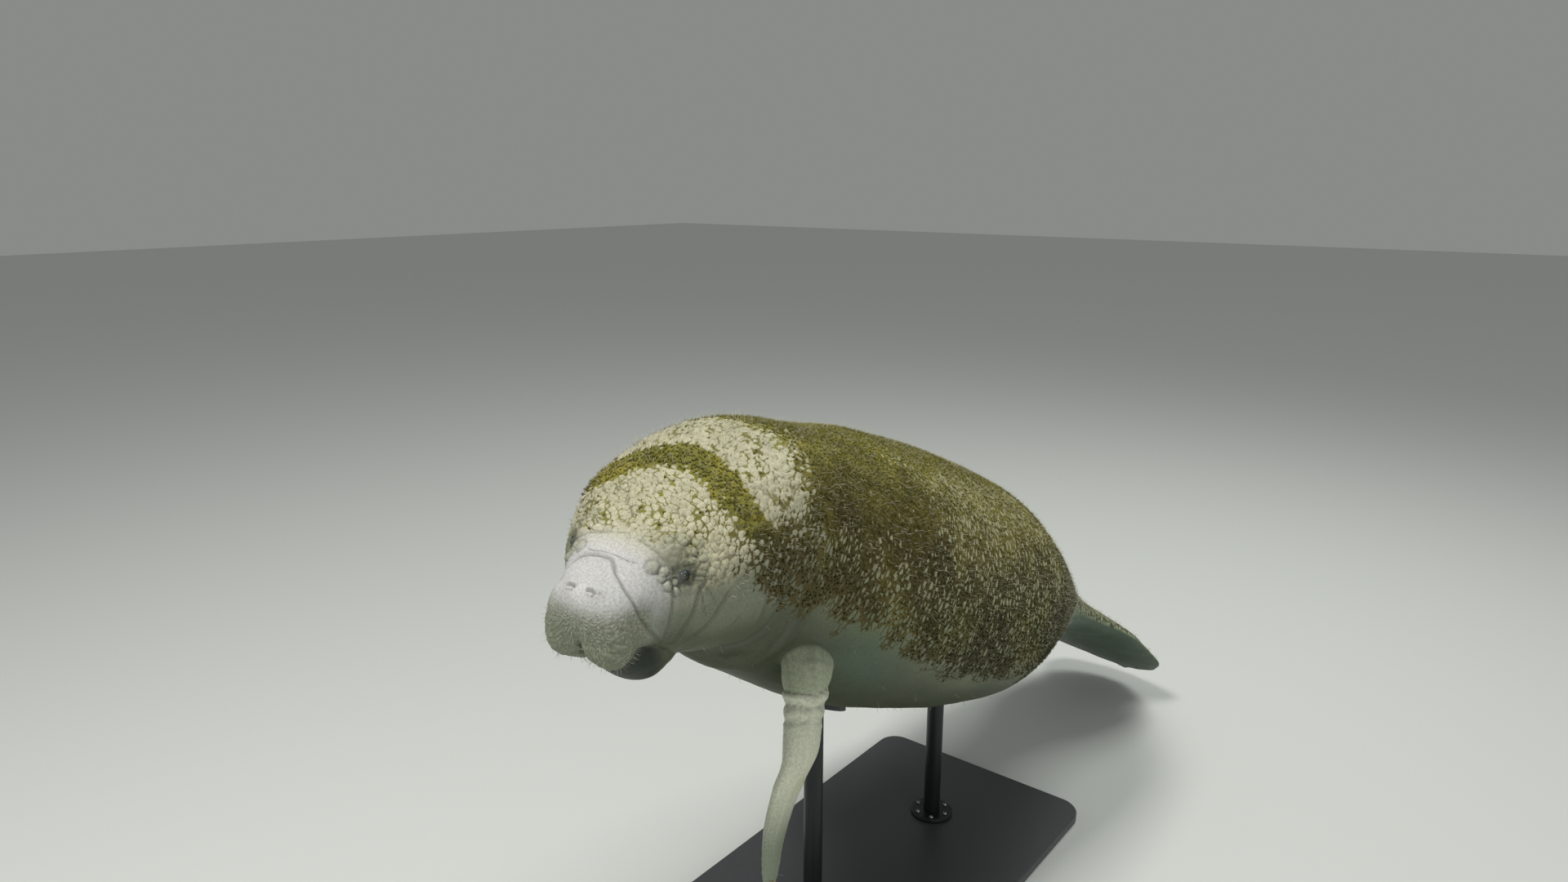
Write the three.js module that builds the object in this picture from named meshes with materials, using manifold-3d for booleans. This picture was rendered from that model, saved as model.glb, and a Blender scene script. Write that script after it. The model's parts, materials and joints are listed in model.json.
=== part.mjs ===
// A life-size manatee as a museum shows it: swimming, held by a plain display stand.
// Millimetres, +Z up. The animal faces -Y and its left side is +X.
// The origin lies on the floor, under the middle of the whole model's outline.
// The body is one smooth form, swept along a bent spine and parted by thin plane cuts.

import * as THREE from 'three';
import { mergeVertices } from 'three/addons/utils/BufferGeometryUtils.js';
import Module from 'manifold-3d';

const wasm = await Module();
wasm.setup();

// Driving dimensions of the body, in millimetres
const BODY_LENGTH = 3000;
const SPINE_ANCHOR = 1200;
const SPINE_STEP = 5;
const SNOUT_ROUNDING = 60;
const SNOUT_POWER = 2.6;
const SNOUT_TIP = 0.2;
const SECTION_POWER = 2.2;
const MUZZLE_LENGTH = 150;
const MUZZLE_TAPER = 0.16;
const MUZZLE_TAPER_FADE = 1.5;
const MUZZLE_TAPER_BIAS = 0.35;
const CUT_GAP = 0.3;
const LIFT_GAP = 0.45;
const WELD_REACH = 1e-4;

// Sections of the body, from the snout back: where each is, its half width,
// its height above the spine line and its depth below it
const SECTIONS = [
  { at: 60, half: 86, top: 58, bottom: 104 },
  { at: 100, half: 100, top: 74, bottom: 112 },
  { at: 145, half: 125, top: 90, bottom: 128 },
  { at: 200, half: 162, top: 110, bottom: 172 },
  { at: 300, half: 206, top: 152, bottom: 212 },
  { at: 420, half: 224, top: 187, bottom: 250 },
  { at: 600, half: 256, top: 230, bottom: 312 },
  { at: 850, half: 319, top: 322, bottom: 312 },
  { at: 1150, half: 354, top: 354, bottom: 303 },
  { at: 1450, half: 376, top: 330, bottom: 307 },
  { at: 1750, half: 312, top: 238, bottom: 274 },
  { at: 2000, half: 234, top: 158, bottom: 174 },
  { at: 2200, half: 180, top: 104, bottom: 98 },
  { at: 2330, half: 168, top: 76, bottom: 67 },
  { at: 2450, half: 190, top: 62, bottom: 52 },
  { at: 2620, half: 240, top: 44, bottom: 38 },
  { at: 2800, half: 238, top: 30, bottom: 27 },
  { at: 2920, half: 178, top: 20, bottom: 18 },
  { at: 2975, half: 104, top: 12, bottom: 11 },
  { at: 3000, half: 34, top: 6, bottom: 6 },
];

// Pose of the spine, in degrees: nose-up pitch, turn to the left, and roll of the body
const PITCH = [[0, -5.3], [300, -5.3], [700, 34.9], [1400, 16.5], [2200, 30], [2500, 35], [3000, 37]];
const TURN = [[0, 13.2], [350, 13.2], [800, 0], [1900, 0], [3000, -22]];
const BODY_ROLL = -10.1;
const HEAD_ROLL = 3.9;
const HEAD_ROLL_START = 350;
const HEAD_ROLL_END = 800;
const TAIL_ROLL = 19;
const TAIL_ROLL_START = 1900;
const TAIL_ROLL_END = 2500;

// Where the head's soft forms end
const HEAD_FORMS_END = 420;

// Soft forms of the head: place behind the snout, side and height of the middle,
// reach along, across and up, and how far the surface rises or sinks there.
// The paired ones are on both sides.
const HEAD_FORMS = [
  { name: 'upper lip lobe', paired: true, at: 34, side: 50, up: -78, reach: [34, 27, 34], rise: 17 },
  { name: 'muzzle cheek', paired: true, at: 44, side: 80, up: -54, reach: [34, 30, 34], rise: 9 },
  { name: 'lip cleft', paired: false, at: 6, side: 0, up: -84, reach: [34, 9, 34], rise: -16 },
  { name: 'nostril ridge', paired: true, at: 24, side: 25, up: 48, reach: [20, 14, 14], rise: 5 },
  { name: 'nostril', paired: true, at: 20, side: 23, up: 46, reach: [9, 6, 6], rise: -6 },
  { name: 'muzzle crease', paired: false, at: 84, side: 0, up: 74, reach: [10, 80, 60], rise: -5 },
  { name: 'brow', paired: true, at: 165, side: 88, up: 84, reach: [30, 26, 24], rise: 9 },
  { name: 'eye hollow', paired: true, at: 158, side: 118, up: 38, reach: [18, 20, 16], rise: -6 },
  { name: 'cheek', paired: true, at: 205, side: 132, up: -52, reach: [46, 44, 50], rise: 10 },
];

// Lower jaw, in the head's own directions: it sits under the muzzle, behind the lips
const JAW_STATIONS = [
  { at: 104, half: 34, top: -118, bottom: -148 },
  { at: 116, half: 56, top: -108, bottom: -176 },
  { at: 136, half: 68, top: -102, bottom: -198 },
  { at: 162, half: 72, top: -102, bottom: -209 },
  { at: 192, half: 70, top: -108, bottom: -209 },
  { at: 220, half: 58, top: -120, bottom: -203 },
  { at: 242, half: 38, top: -134, bottom: -195 },
];

// Eyes
const EYE_RADIUS = 10;
const EYE_AT = 158;
const EYE_UP = 38;
const EYE_SINK = 9;
const EYE_SEGMENTS = { round: 14, down: 8 };

// Left flipper, hanging: middle of each station from the spine's anchor, half chord,
// half thickness and the turn of its front edge away from straight ahead
const LEFT_FLIPPER = [
  { x: 128, y: -480, z: 120, chord: 72, thick: 46, turn: 4 },
  { x: 176, y: -524, z: 74, chord: 76, thick: 47, turn: 5 },
  { x: 200, y: -556, z: 32, chord: 76, thick: 44, turn: 7 },
  { x: 207, y: -570, z: -14, chord: 72, thick: 39, turn: 9 },
  { x: 216, y: -592, z: -74, chord: 66, thick: 32, turn: 10 },
  { x: 226, y: -616, z: -132, chord: 69, thick: 27, turn: 9 },
  { x: 218, y: -642, z: -188, chord: 76, thick: 23, turn: 11 },
  { x: 212, y: -667, z: -248, chord: 78, thick: 19, turn: 16 },
  { x: 212, y: -685, z: -303, chord: 70, thick: 14, turn: 19 },
  { x: 215, y: -697, z: -347, chord: 54, thick: 10, turn: 19 },
  { x: 219, y: -703, z: -375, chord: 34, thick: 7, turn: 18 },
  { x: 221, y: -706, z: -387, chord: 14, thick: 4, turn: 18 },
];
const FLIPPER_STEPS = 18;
const FLIPPER_SIDES = 14;
const FLIPPER_FRONT_FULLNESS = 0.2;
const FLIPPER_TURN_STEP = 0.02;

// Right flipper, held back against the flank: where along the body and how far round it
// each station is, and how far its middle stands off the skin
const RIGHT_FLIPPER = [
  { at: 700, round: 216, off: -90, chord: 66, thick: 46 },
  { at: 745, round: 216, off: -22, chord: 72, thick: 44 },
  { at: 795, round: 216, off: 26, chord: 72, thick: 37 },
  { at: 860, round: 216, off: 50, chord: 66, thick: 31 },
  { at: 930, round: 216, off: 55, chord: 69, thick: 26 },
  { at: 1000, round: 216, off: 50, chord: 76, thick: 22 },
  { at: 1065, round: 215, off: 44, chord: 77, thick: 18 },
  { at: 1120, round: 214, off: 40, chord: 68, thick: 14 },
  { at: 1160, round: 213, off: 38, chord: 52, thick: 10 },
  { at: 1185, round: 212, off: 37, chord: 33, thick: 7 },
  { at: 1196, round: 212, off: 37, chord: 14, thick: 4 },
];

// Nails on the outer face of each flipper's tip: place along the flipper from 0 to 1,
// place across the chord from the front edge at 1 to the rear edge at -1
const NAILS = [
  { along: 0.9, across: 0.7 },
  { along: 0.938, across: 0.36 },
  { along: 0.95, across: -0.1 },
];
const NAIL_LENGTH = 15;
const NAIL_WIDTH = 11;
const NAIL_THICKNESS = 4;
const NAIL_SEGMENTS = { round: 10, down: 6 };

// Display stand: a flat base board and two upright rods, each with a cup under the belly
const FLOOR_BELOW_ANCHOR = 890;
const BASE_LENGTH = 1250;
const BASE_WIDTH = 700;
const BASE_THICKNESS = 30;
const BASE_CORNER = 60;
const BASE_BEVEL = 4;
const BASE_CORNER_SEGMENTS = 6;
const BASE_MIDDLE_Y = 20;
const ROD_RADIUS = 24;
const ROD_FLANGE_RADIUS = 62;
const ROD_FLANGE_HEIGHT = 12;
const ROD_SIDES = 24;
const ROD_TOP = 0;
const ROD_PLACES = { front: -270, rear: 330 };
const CUP_RADIUS = 78;
const CUP_THICKNESS = 14;
const CUP_BLANK_MIDDLE = -262.5;
const CUP_BLANK_HEIGHT = 445;

// How finely the surfaces are divided
const BODY_SIDES = 32;
const HEAD_SIDES = 36;
const HEAD_END = 300;
const JAW_SIDES = 24;
const BODY_PARTS = [
  { name: 'muzzle', from: 0, to: 95, steps: 12, sides: HEAD_SIDES, paint: 'pale_skin' },
  { name: 'head', from: 95, to: HEAD_END, steps: 11, sides: HEAD_SIDES, paint: 'pale_skin' },
  { name: 'neck', from: HEAD_END, to: 560, steps: 7, sides: BODY_SIDES, paint: 'algae_skin' },
  { name: 'trunk_front', from: 560, to: 1200, steps: 10, sides: BODY_SIDES, paint: 'algae_skin' },
  { name: 'trunk_rear', from: 1200, to: 1900, steps: 9, sides: BODY_SIDES, paint: 'algae_skin' },
  { name: 'tail_stock', from: 1900, to: 2400, steps: 7, sides: BODY_SIDES, paint: 'grey_skin' },
  { name: 'tail_paddle', from: 2400, to: BODY_LENGTH, steps: 11, sides: BODY_SIDES, paint: 'grey_skin' },
];

const MATERIALS = {
  pale_skin: new THREE.MeshStandardMaterial({ color: 0xa9a79d, roughness: 0.75, metalness: 0 }),
  grey_skin: new THREE.MeshStandardMaterial({ color: 0x7d8172, roughness: 0.8, metalness: 0 }),
  algae_skin: new THREE.MeshStandardMaterial({ color: 0x6f683c, roughness: 0.9, metalness: 0 }),
  eye: new THREE.MeshStandardMaterial({ color: 0x1a1f26, roughness: 0.15, metalness: 0 }),
  nail: new THREE.MeshStandardMaterial({ color: 0xc9bf9f, roughness: 0.5, metalness: 0 }),
  stand: new THREE.MeshStandardMaterial({ color: 0x3a3d40, roughness: 0.5, metalness: 0.6 }),
};

const radians = THREE.MathUtils.degToRad;
const clamp = THREE.MathUtils.clamp;

// A smooth curve through knots that never overshoots them
function monotoneCurve(knots) {
  const count = knots.length;
  const step = knots.slice(1).map((knot, i) => knot[0] - knots[i][0]);
  const slope = knots.slice(1).map((knot, i) => (knot[1] - knots[i][1]) / step[i]);
  const tangent = knots.map((knot, i) => {
    if (i === 0) {
      return endTangent(step[0], step[1], slope[0], slope[1]);
    }
    if (i === count - 1) {
      return endTangent(step[i - 1], step[i - 2], slope[i - 1], slope[i - 2]);
    }
    if (slope[i - 1] * slope[i] <= 0) {
      return 0;
    }
    const before = 2 * step[i] + step[i - 1];
    const after = step[i] + 2 * step[i - 1];
    return (before + after) / (before / slope[i - 1] + after / slope[i]);
  });
  return (place) => {
    const at = clamp(place, knots[0][0], knots[count - 1][0]);
    let i = 0;
    while (i < count - 2 && at > knots[i + 1][0]) {
      i += 1;
    }
    const u = (at - knots[i][0]) / step[i];
    const rest = 1 - u;
    return knots[i][1] * (1 + 2 * u) * rest * rest
      + step[i] * tangent[i] * u * rest * rest
      + knots[i + 1][1] * u * u * (3 - 2 * u)
      - step[i] * tangent[i + 1] * u * u * rest;
  };
}

// The slope at the first or last knot of such a curve
function endTangent(near, far, slopeNear, slopeFar) {
  const tangent = ((2 * near + far) * slopeNear - near * slopeFar) / (near + far);
  if (tangent * slopeNear <= 0) {
    return 0;
  }
  if (slopeNear * slopeFar <= 0 && Math.abs(tangent) > 3 * Math.abs(slopeNear)) {
    return 3 * slopeNear;
  }
  return tangent;
}

const pitchAt = monotoneCurve(PITCH);
const turnAt = monotoneCurve(TURN);
const halfAt = monotoneCurve(SECTIONS.map((s) => [s.at, s.half]));
const topAt = monotoneCurve(SECTIONS.map((s) => [s.at, s.top]));
const bottomAt = monotoneCurve(SECTIONS.map((s) => [s.at, s.bottom]));

// Directions of the body at a place on the spine: towards the snout, to the left and up
function directionsAt(at) {
  const pitch = radians(pitchAt(at));
  const turn = radians(turnAt(at));
  const headShare = clamp((HEAD_ROLL_END - at) / (HEAD_ROLL_END - HEAD_ROLL_START), 0, 1);
  const tailShare = clamp((at - TAIL_ROLL_START) / (TAIL_ROLL_END - TAIL_ROLL_START), 0, 1);
  const roll = radians(BODY_ROLL + HEAD_ROLL * headShare + TAIL_ROLL * tailShare);
  const ahead = new THREE.Vector3(
    Math.sin(turn) * Math.cos(pitch),
    -Math.cos(turn) * Math.cos(pitch),
    Math.sin(pitch),
  );
  const left = new THREE.Vector3(Math.cos(turn), Math.sin(turn), 0);
  const up = new THREE.Vector3().crossVectors(ahead, left);
  left.applyAxisAngle(ahead, roll);
  up.applyAxisAngle(ahead, roll);
  return { ahead, left, up };
}

// The spine line, walked back from the snout in small steps and moved so that its
// anchor is at the middle of the world
const spineLine = (() => {
  const points = [new THREE.Vector3()];
  const count = BODY_LENGTH / SPINE_STEP;
  for (let i = 1; i <= count; i += 1) {
    const { ahead } = directionsAt((i - 0.5) * SPINE_STEP);
    points.push(points[i - 1].clone().addScaledVector(ahead, -SPINE_STEP));
  }
  const anchor = points[SPINE_ANCHOR / SPINE_STEP].clone();
  return points.map((point) => point.sub(anchor));
})();

function spineAt(at) {
  const place = clamp(at / SPINE_STEP, 0, spineLine.length - 1);
  const i = Math.min(Math.floor(place), spineLine.length - 2);
  return spineLine[i].clone().lerp(spineLine[i + 1], place - i);
}

// A point given by its place along the spine, to the left and up, put in the world
function inWorld(at, side, up) {
  const directions = directionsAt(at);
  return spineAt(at).addScaledVector(directions.left, side).addScaledVector(directions.up, up);
}

const signedPower = (value, power) => Math.sign(value) * Math.abs(value) ** power;

// The plain section of the body before the head's soft forms, as side and height.
// The muzzle is narrower above than below.
function plainSection(at, round) {
  const ahead = clamp(at / SNOUT_ROUNDING, 0, 1);
  const closing = (1 - (1 - ahead) ** SNOUT_POWER) ** (1 / SNOUT_POWER);
  const rise = signedPower(Math.sin(round), 2 / SECTION_POWER);
  const muzzle = clamp(MUZZLE_TAPER_FADE * (1 - at / MUZZLE_LENGTH), 0, 1);
  const taper = 1 - MUZZLE_TAPER * muzzle * (rise + MUZZLE_TAPER_BIAS);
  const side = halfAt(at) * closing * taper * signedPower(Math.cos(round), 2 / SECTION_POWER);
  const up = closing * (rise > 0 ? topAt(at) : bottomAt(at)) * rise;
  return { side, up };
}

// How far the head's soft forms lift the surface at a place on it
function headLift(at, side, up) {
  let lift = 0;
  for (const form of HEAD_FORMS) {
    const [along, across, high] = form.reach;
    const distance = form.paired ? Math.abs(side) - form.side : side;
    const parts = [(at - form.at) / along, distance / across, (up - form.up) / high];
    lift += form.rise * Math.exp(-parts.reduce((sum, part) => sum + part * part, 0));
  }
  return lift;
}

// A point of the body's surface. The forms lift it away from the middle of its section,
// and forwards where the snout rounds off.
function skinPoint(at, round, grow = 0) {
  const { side, up } = plainSection(at, round);
  const lift = at < HEAD_FORMS_END ? headLift(at, side, up) : 0;
  const half = halfAt(at);
  const tall = up > 0 ? topAt(at) : bottomAt(at);
  const facing = clamp(1 - at / SNOUT_ROUNDING, 0, 1) ** SNOUT_POWER;
  const outward = new THREE.Vector2(side / (half * half), up / (tall * tall)).normalize();
  const amount = lift + grow;
  const sideways = amount * Math.sqrt(1 - facing);
  const forwards = at - amount * Math.sqrt(facing);
  const place = spineAt(Math.max(forwards, 0));
  const { ahead, left, up: above } = directionsAt(at);
  place.addScaledVector(ahead, Math.max(-forwards, 0));
  return place
    .addScaledVector(left, side + outward.x * sideways)
    .addScaledVector(above, up + outward.y * sideways);
}

// A closed solid through rings of points, with flat or pointed ends
function closedLoft(rings) {
  const points = [];
  const faces = [];
  const sides = rings[0].length;
  for (const ring of rings) {
    points.push(...ring);
  }
  for (let i = 0; i < rings.length - 1; i += 1) {
    for (let j = 0; j < sides; j += 1) {
      const next = (j + 1) % sides;
      const [a, b] = [i * sides + j, i * sides + next];
      faces.push([a, b, b + sides], [a, b + sides, a + sides]);
    }
  }
  const ends = [[rings[0], 0, true], [rings.at(-1), (rings.length - 1) * sides, false]];
  for (const [ring, start, flip] of ends) {
    const middle = ring.reduce((sum, point) => sum.add(point), new THREE.Vector3()).divideScalar(sides);
    const hub = points.push(middle) - 1;
    for (let j = 0; j < sides; j += 1) {
      const [a, b] = [start + j, start + ((j + 1) % sides)];
      faces.push(flip ? [b, a, hub] : [a, b, hub]);
    }
  }
  return turnedOutwards(points, faces);
}

// A geometry from points and faces, with its faces pointing out
function turnedOutwards(points, faces) {
  let volume = 0;
  const normal = new THREE.Vector3();
  for (const [a, b, c] of faces) {
    volume += points[a].dot(normal.crossVectors(points[b], points[c]));
  }
  const index = faces.flatMap(([a, b, c]) => (volume > 0 ? [a, b, c] : [a, c, b]));
  const geometry = new THREE.BufferGeometry();
  const flat = points.flatMap((point) => point.toArray());
  geometry.setAttribute('position', new THREE.Float32BufferAttribute(flat, 3));
  geometry.setIndex(index);
  return geometry;
}

// A closed solid that can be joined and cut, from a surface's triangles
function toSolid(source) {
  const geometry = source.clone();
  geometry.deleteAttribute('normal');
  geometry.deleteAttribute('uv');
  const merged = mergeVertices(geometry, WELD_REACH);
  return new wasm.Manifold(new wasm.Mesh({
    numProp: 3,
    vertProperties: new Float32Array(merged.attributes.position.array),
    triVerts: new Uint32Array(merged.index.array),
  }));
}

// A closed solid's own surface
function toGeometry(solid) {
  const mesh = solid.getMesh();
  const geometry = new THREE.BufferGeometry();
  const flat = new Float32Array(mesh.vertProperties);
  geometry.setAttribute('position', new THREE.BufferAttribute(flat, 3));
  geometry.setIndex(new THREE.BufferAttribute(new Uint32Array(mesh.triVerts), 1));
  return geometry;
}

const ringAngles = (sides) => Array.from({ length: sides }, (_, j) => (2 * Math.PI * j) / sides);

// One length of the body between two cuts. The snout's rings crowd towards its front.
function bodyPiece({ from, to, steps, sides }, grow = 0) {
  const rings = [];
  const first = from + (from > 0 ? CUT_GAP / 2 : 0);
  const last = to - (to < BODY_LENGTH ? CUT_GAP / 2 : 0);
  for (let i = 0; i <= steps; i += 1) {
    const even = i / steps;
    const share = from === 0 ? even ** 2 : even;
    const at = from === 0 && i === 0 ? SNOUT_TIP : first + (last - first) * share;
    rings.push(ringAngles(sides).map((round) => skinPoint(at, round, grow)));
  }
  return closedLoft(rings);
}

// The whole outer form in one closed solid, grown a little, to cut other pieces to it
function wholeBody(grow) {
  const rings = [];
  for (const part of BODY_PARTS) {
    for (let i = 0; i <= part.steps; i += 1) {
      const share = part.from === 0 ? (i / part.steps) ** 2 : i / part.steps;
      const at = part.from === 0 && i === 0 ? SNOUT_TIP : part.from + (part.to - part.from) * share;
      if (i > 0 || part.from === 0) {
        rings.push(ringAngles(BODY_SIDES).map((round) => skinPoint(at, round, grow)));
      }
    }
  }
  return toSolid(closedLoft(rings));
}

// The lower jaw and lip, rounder below than above
function jawSolid(grow) {
  const sections = JAW_STATIONS.map((station) => ({
    at: station.at,
    half: station.half + grow,
    middle: (station.top + station.bottom) / 2,
    tall: (station.top - station.bottom) / 2 + grow,
  }));
  sections[0].at -= grow;
  sections.at(-1).at += grow;
  const rings = sections.map(({ at, half, middle, tall }) => ringAngles(JAW_SIDES).map((round) => {
    const side = half * signedPower(Math.cos(round), 2 / SECTION_POWER);
    const up = middle + tall * signedPower(Math.sin(round), 2 / SECTION_POWER);
    return inWorld(at, side, up);
  }));
  return toSolid(closedLoft(rings));
}

// The middle of an eye, sunk a little below the head's side
function eyeCentre(hand) {
  const { side } = plainSection(EYE_AT, Math.asin((EYE_UP / topAt(EYE_AT)) ** (SECTION_POWER / 2)));
  const surface = Math.abs(side) + headLift(EYE_AT, Math.abs(side), EYE_UP);
  return inWorld(EYE_AT, hand * (surface - EYE_SINK), EYE_UP);
}

function ball(radius, centre) {
  return new THREE.SphereGeometry(radius, EYE_SEGMENTS.round, EYE_SEGMENTS.down)
    .translate(centre.x, centre.y, centre.z);
}

// A flipper's stations in the world, each with its middle and the way its front edge faces
function leftFlipperStations() {
  return LEFT_FLIPPER.map(({ x, y, z, chord, thick, turn }) => ({
    middle: new THREE.Vector3(x, y, z),
    front: new THREE.Vector3(Math.sin(radians(turn)), -Math.cos(radians(turn)), 0),
    chord,
    thick,
  }));
}

function rightFlipperStations() {
  return RIGHT_FLIPPER.map(({ at, round, off, chord, thick }) => {
    const angle = radians(round);
    const ahead = skinPoint(at, angle + FLIPPER_TURN_STEP);
    const front = ahead.sub(skinPoint(at, angle - FLIPPER_TURN_STEP)).normalize();
    return { middle: skinPoint(at, angle, off), front, chord, thick };
  });
}

// How far a flipper's outer face stands off its middle, across the chord from -1 to 1
function fullness(across) {
  return Math.sqrt(1 - across * across) * (1 + FLIPPER_FRONT_FULLNESS * across);
}

// The flipper's directions at a share of its length: along it, to its front edge and to
// its outer face
function flipperFrame(stations, hand) {
  const last = stations.length - 1;
  const middles = stations.map((station) => station.middle);
  const curve = new THREE.CatmullRomCurve3(middles, false, 'centripetal');
  const spread = (key) => monotoneCurve(stations.map((station, i) => [i / last, station[key]]));
  const chordAt = spread('chord');
  const thickAt = spread('thick');
  return (share) => {
    const place = share * last;
    const i = Math.min(Math.floor(place), last - 1);
    const along = curve.getTangent(share).normalize();
    const front = stations[i].front.clone().lerp(stations[i + 1].front, place - i);
    front.addScaledVector(along, -front.dot(along)).normalize();
    const outer = new THREE.Vector3().crossVectors(front, along).multiplyScalar(hand).normalize();
    const middle = curve.getPoint(share);
    return { middle, along, front, outer, chord: chordAt(share), thick: thickAt(share) };
  };
}

// A flipper's whole surface, fuller towards its front edge
function flipperGeometry(frameAt) {
  const rings = [];
  for (let i = 0; i <= FLIPPER_STEPS; i += 1) {
    const { middle, front, outer, chord, thick } = frameAt(i / FLIPPER_STEPS);
    rings.push(ringAngles(FLIPPER_SIDES).map((round) => middle.clone()
      .addScaledVector(front, chord * Math.cos(round))
      .addScaledVector(outer, Math.sign(Math.sin(round)) * thick * fullness(Math.cos(round)))));
  }
  return closedLoft(rings);
}

// A nail is a low rounded plate lying on the flipper's outer face
function nailGeometry(frameAt, { along, across }, grow) {
  const { middle, along: lengthwise, front, outer, chord, thick } = frameAt(along);
  const centre = middle.clone()
    .addScaledVector(front, chord * across)
    .addScaledVector(outer, thick * fullness(across));
  const slope = new THREE.Vector3()
    .addScaledVector(outer, Math.sqrt(1 - across * across))
    .addScaledVector(front, across * thick / chord)
    .normalize();
  const width = new THREE.Vector3().crossVectors(slope, lengthwise).normalize();
  const length = new THREE.Vector3().crossVectors(slope, width).normalize();
  const plate = new THREE.SphereGeometry(1 / 2, NAIL_SEGMENTS.round, NAIL_SEGMENTS.down);
  plate.scale(NAIL_WIDTH + 2 * grow, NAIL_LENGTH + 2 * grow, NAIL_THICKNESS + 2 * grow);
  plate.applyMatrix4(new THREE.Matrix4().makeBasis(width, length, slope).setPosition(centre));
  return plate;
}

// The base board, with round corners and a small bevel all round
function baseGeometry() {
  const [x, y] = [BASE_WIDTH / 2 - BASE_BEVEL, BASE_LENGTH / 2 - BASE_BEVEL];
  const outline = new THREE.Shape();
  outline.moveTo(x - BASE_CORNER, -y);
  outline.absarc(x - BASE_CORNER, -y + BASE_CORNER, BASE_CORNER, -Math.PI / 2, 0);
  outline.absarc(x - BASE_CORNER, y - BASE_CORNER, BASE_CORNER, 0, Math.PI / 2);
  outline.absarc(-x + BASE_CORNER, y - BASE_CORNER, BASE_CORNER, Math.PI / 2, Math.PI);
  outline.absarc(-x + BASE_CORNER, -y + BASE_CORNER, BASE_CORNER, Math.PI, 1.5 * Math.PI);
  return new THREE.ExtrudeGeometry(outline, {
    depth: BASE_THICKNESS - 2 * BASE_BEVEL,
    bevelThickness: BASE_BEVEL,
    bevelSize: BASE_BEVEL,
    bevelSegments: 1,
    curveSegments: BASE_CORNER_SEGMENTS,
  }).translate(0, BASE_MIDDLE_Y, BASE_BEVEL - FLOOR_BELOW_ANCHOR);
}

// A rod from its flange on the base up into the body, before it is cut to the belly
function rodGeometry(y) {
  const foot = BASE_THICKNESS + CUT_GAP - FLOOR_BELOW_ANCHOR;
  const profile = [
    new THREE.Vector2(0, foot),
    new THREE.Vector2(ROD_FLANGE_RADIUS, foot),
    new THREE.Vector2(ROD_FLANGE_RADIUS, foot + ROD_FLANGE_HEIGHT / 2),
    new THREE.Vector2(ROD_FLANGE_RADIUS - ROD_FLANGE_HEIGHT / 2, foot + ROD_FLANGE_HEIGHT),
    new THREE.Vector2(ROD_RADIUS, foot + ROD_FLANGE_HEIGHT),
    new THREE.Vector2(ROD_RADIUS, ROD_TOP),
    new THREE.Vector2(0, ROD_TOP),
  ];
  return new THREE.LatheGeometry(profile, ROD_SIDES).rotateX(Math.PI / 2).translate(0, y, 0);
}

// The cup's blank: a short upright cylinder that reaches from below the belly into it
function cupBlank(y) {
  return new THREE.CylinderGeometry(CUP_RADIUS, CUP_RADIUS, CUP_BLANK_HEIGHT, ROD_SIDES)
    .rotateX(Math.PI / 2)
    .translate(0, y, CUP_BLANK_MIDDLE);
}

const model = new THREE.Group();

// Names a piece and puts it in the model
function addPiece(name, geometry, material) {
  const mesh = new THREE.Mesh(geometry, MATERIALS[material]);
  mesh.name = name;
  model.add(mesh);
}

// The body's lengths, with room for the jaw, the eyes and nothing else
function addBody() {
  const jaw = jawSolid(0);
  const jawRoom = jawSolid(LIFT_GAP);
  const eyeRooms = [1, -1].map((hand) => toSolid(ball(EYE_RADIUS + LIFT_GAP, eyeCentre(hand))));
  for (const part of BODY_PARTS) {
    let solid = toSolid(bodyPiece(part));
    if (part.to <= HEAD_END) {
      solid = solid.subtract(jawRoom);
    }
    if (part.name === 'head') {
      solid = eyeRooms.reduce((rest, room) => rest.subtract(room), solid);
    }
    addPiece(part.name, toGeometry(solid), part.paint);
  }
  addPiece('lower_jaw', toGeometry(jaw), 'grey_skin');
  addPiece('eye_left', ball(EYE_RADIUS, eyeCentre(1)), 'eye');
  addPiece('eye_right', ball(EYE_RADIUS, eyeCentre(-1)), 'eye');
}

// Each flipper is cut to the body's surface and gives its nails room
function addFlippers(body) {
  const flippers = [
    { side: 'left', frameAt: flipperFrame(leftFlipperStations(), 1) },
    { side: 'right', frameAt: flipperFrame(rightFlipperStations(), -1) },
  ];
  for (const { side, frameAt } of flippers) {
    let solid = toSolid(flipperGeometry(frameAt)).subtract(body);
    NAILS.forEach((nail, i) => {
      solid = solid.subtract(toSolid(nailGeometry(frameAt, nail, LIFT_GAP)));
      addPiece(`nail_${side}_${i + 1}`, nailGeometry(frameAt, nail, 0), 'nail');
    });
    addPiece(`flipper_${side}`, toGeometry(solid), 'pale_skin');
  }
}

// Each cup and each rod is cut to the belly
function addStand(body) {
  addPiece('stand_base', baseGeometry(), 'stand');
  const cupFace = wholeBody(LIFT_GAP + CUP_THICKNESS);
  const rodFace = wholeBody(2 * LIFT_GAP + CUP_THICKNESS);
  for (const [end, y] of Object.entries(ROD_PLACES)) {
    const cup = toSolid(cupBlank(y)).intersect(cupFace).subtract(body);
    addPiece(`stand_cup_${end}`, toGeometry(cup), 'stand');
    addPiece(`stand_rod_${end}`, toGeometry(toSolid(rodGeometry(y)).subtract(rodFace)), 'stand');
  }
}

const bodyRoom = wholeBody(LIFT_GAP);
addBody();
addFlippers(bodyRoom);
addStand(bodyRoom);

// The whole model stands with the middle of its outline over the origin
const outline = new THREE.Box3().setFromObject(model);
const middle = outline.getCenter(new THREE.Vector3());
model.position.set(-middle.x, -middle.y, -outline.min.z);

export default model;
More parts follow.
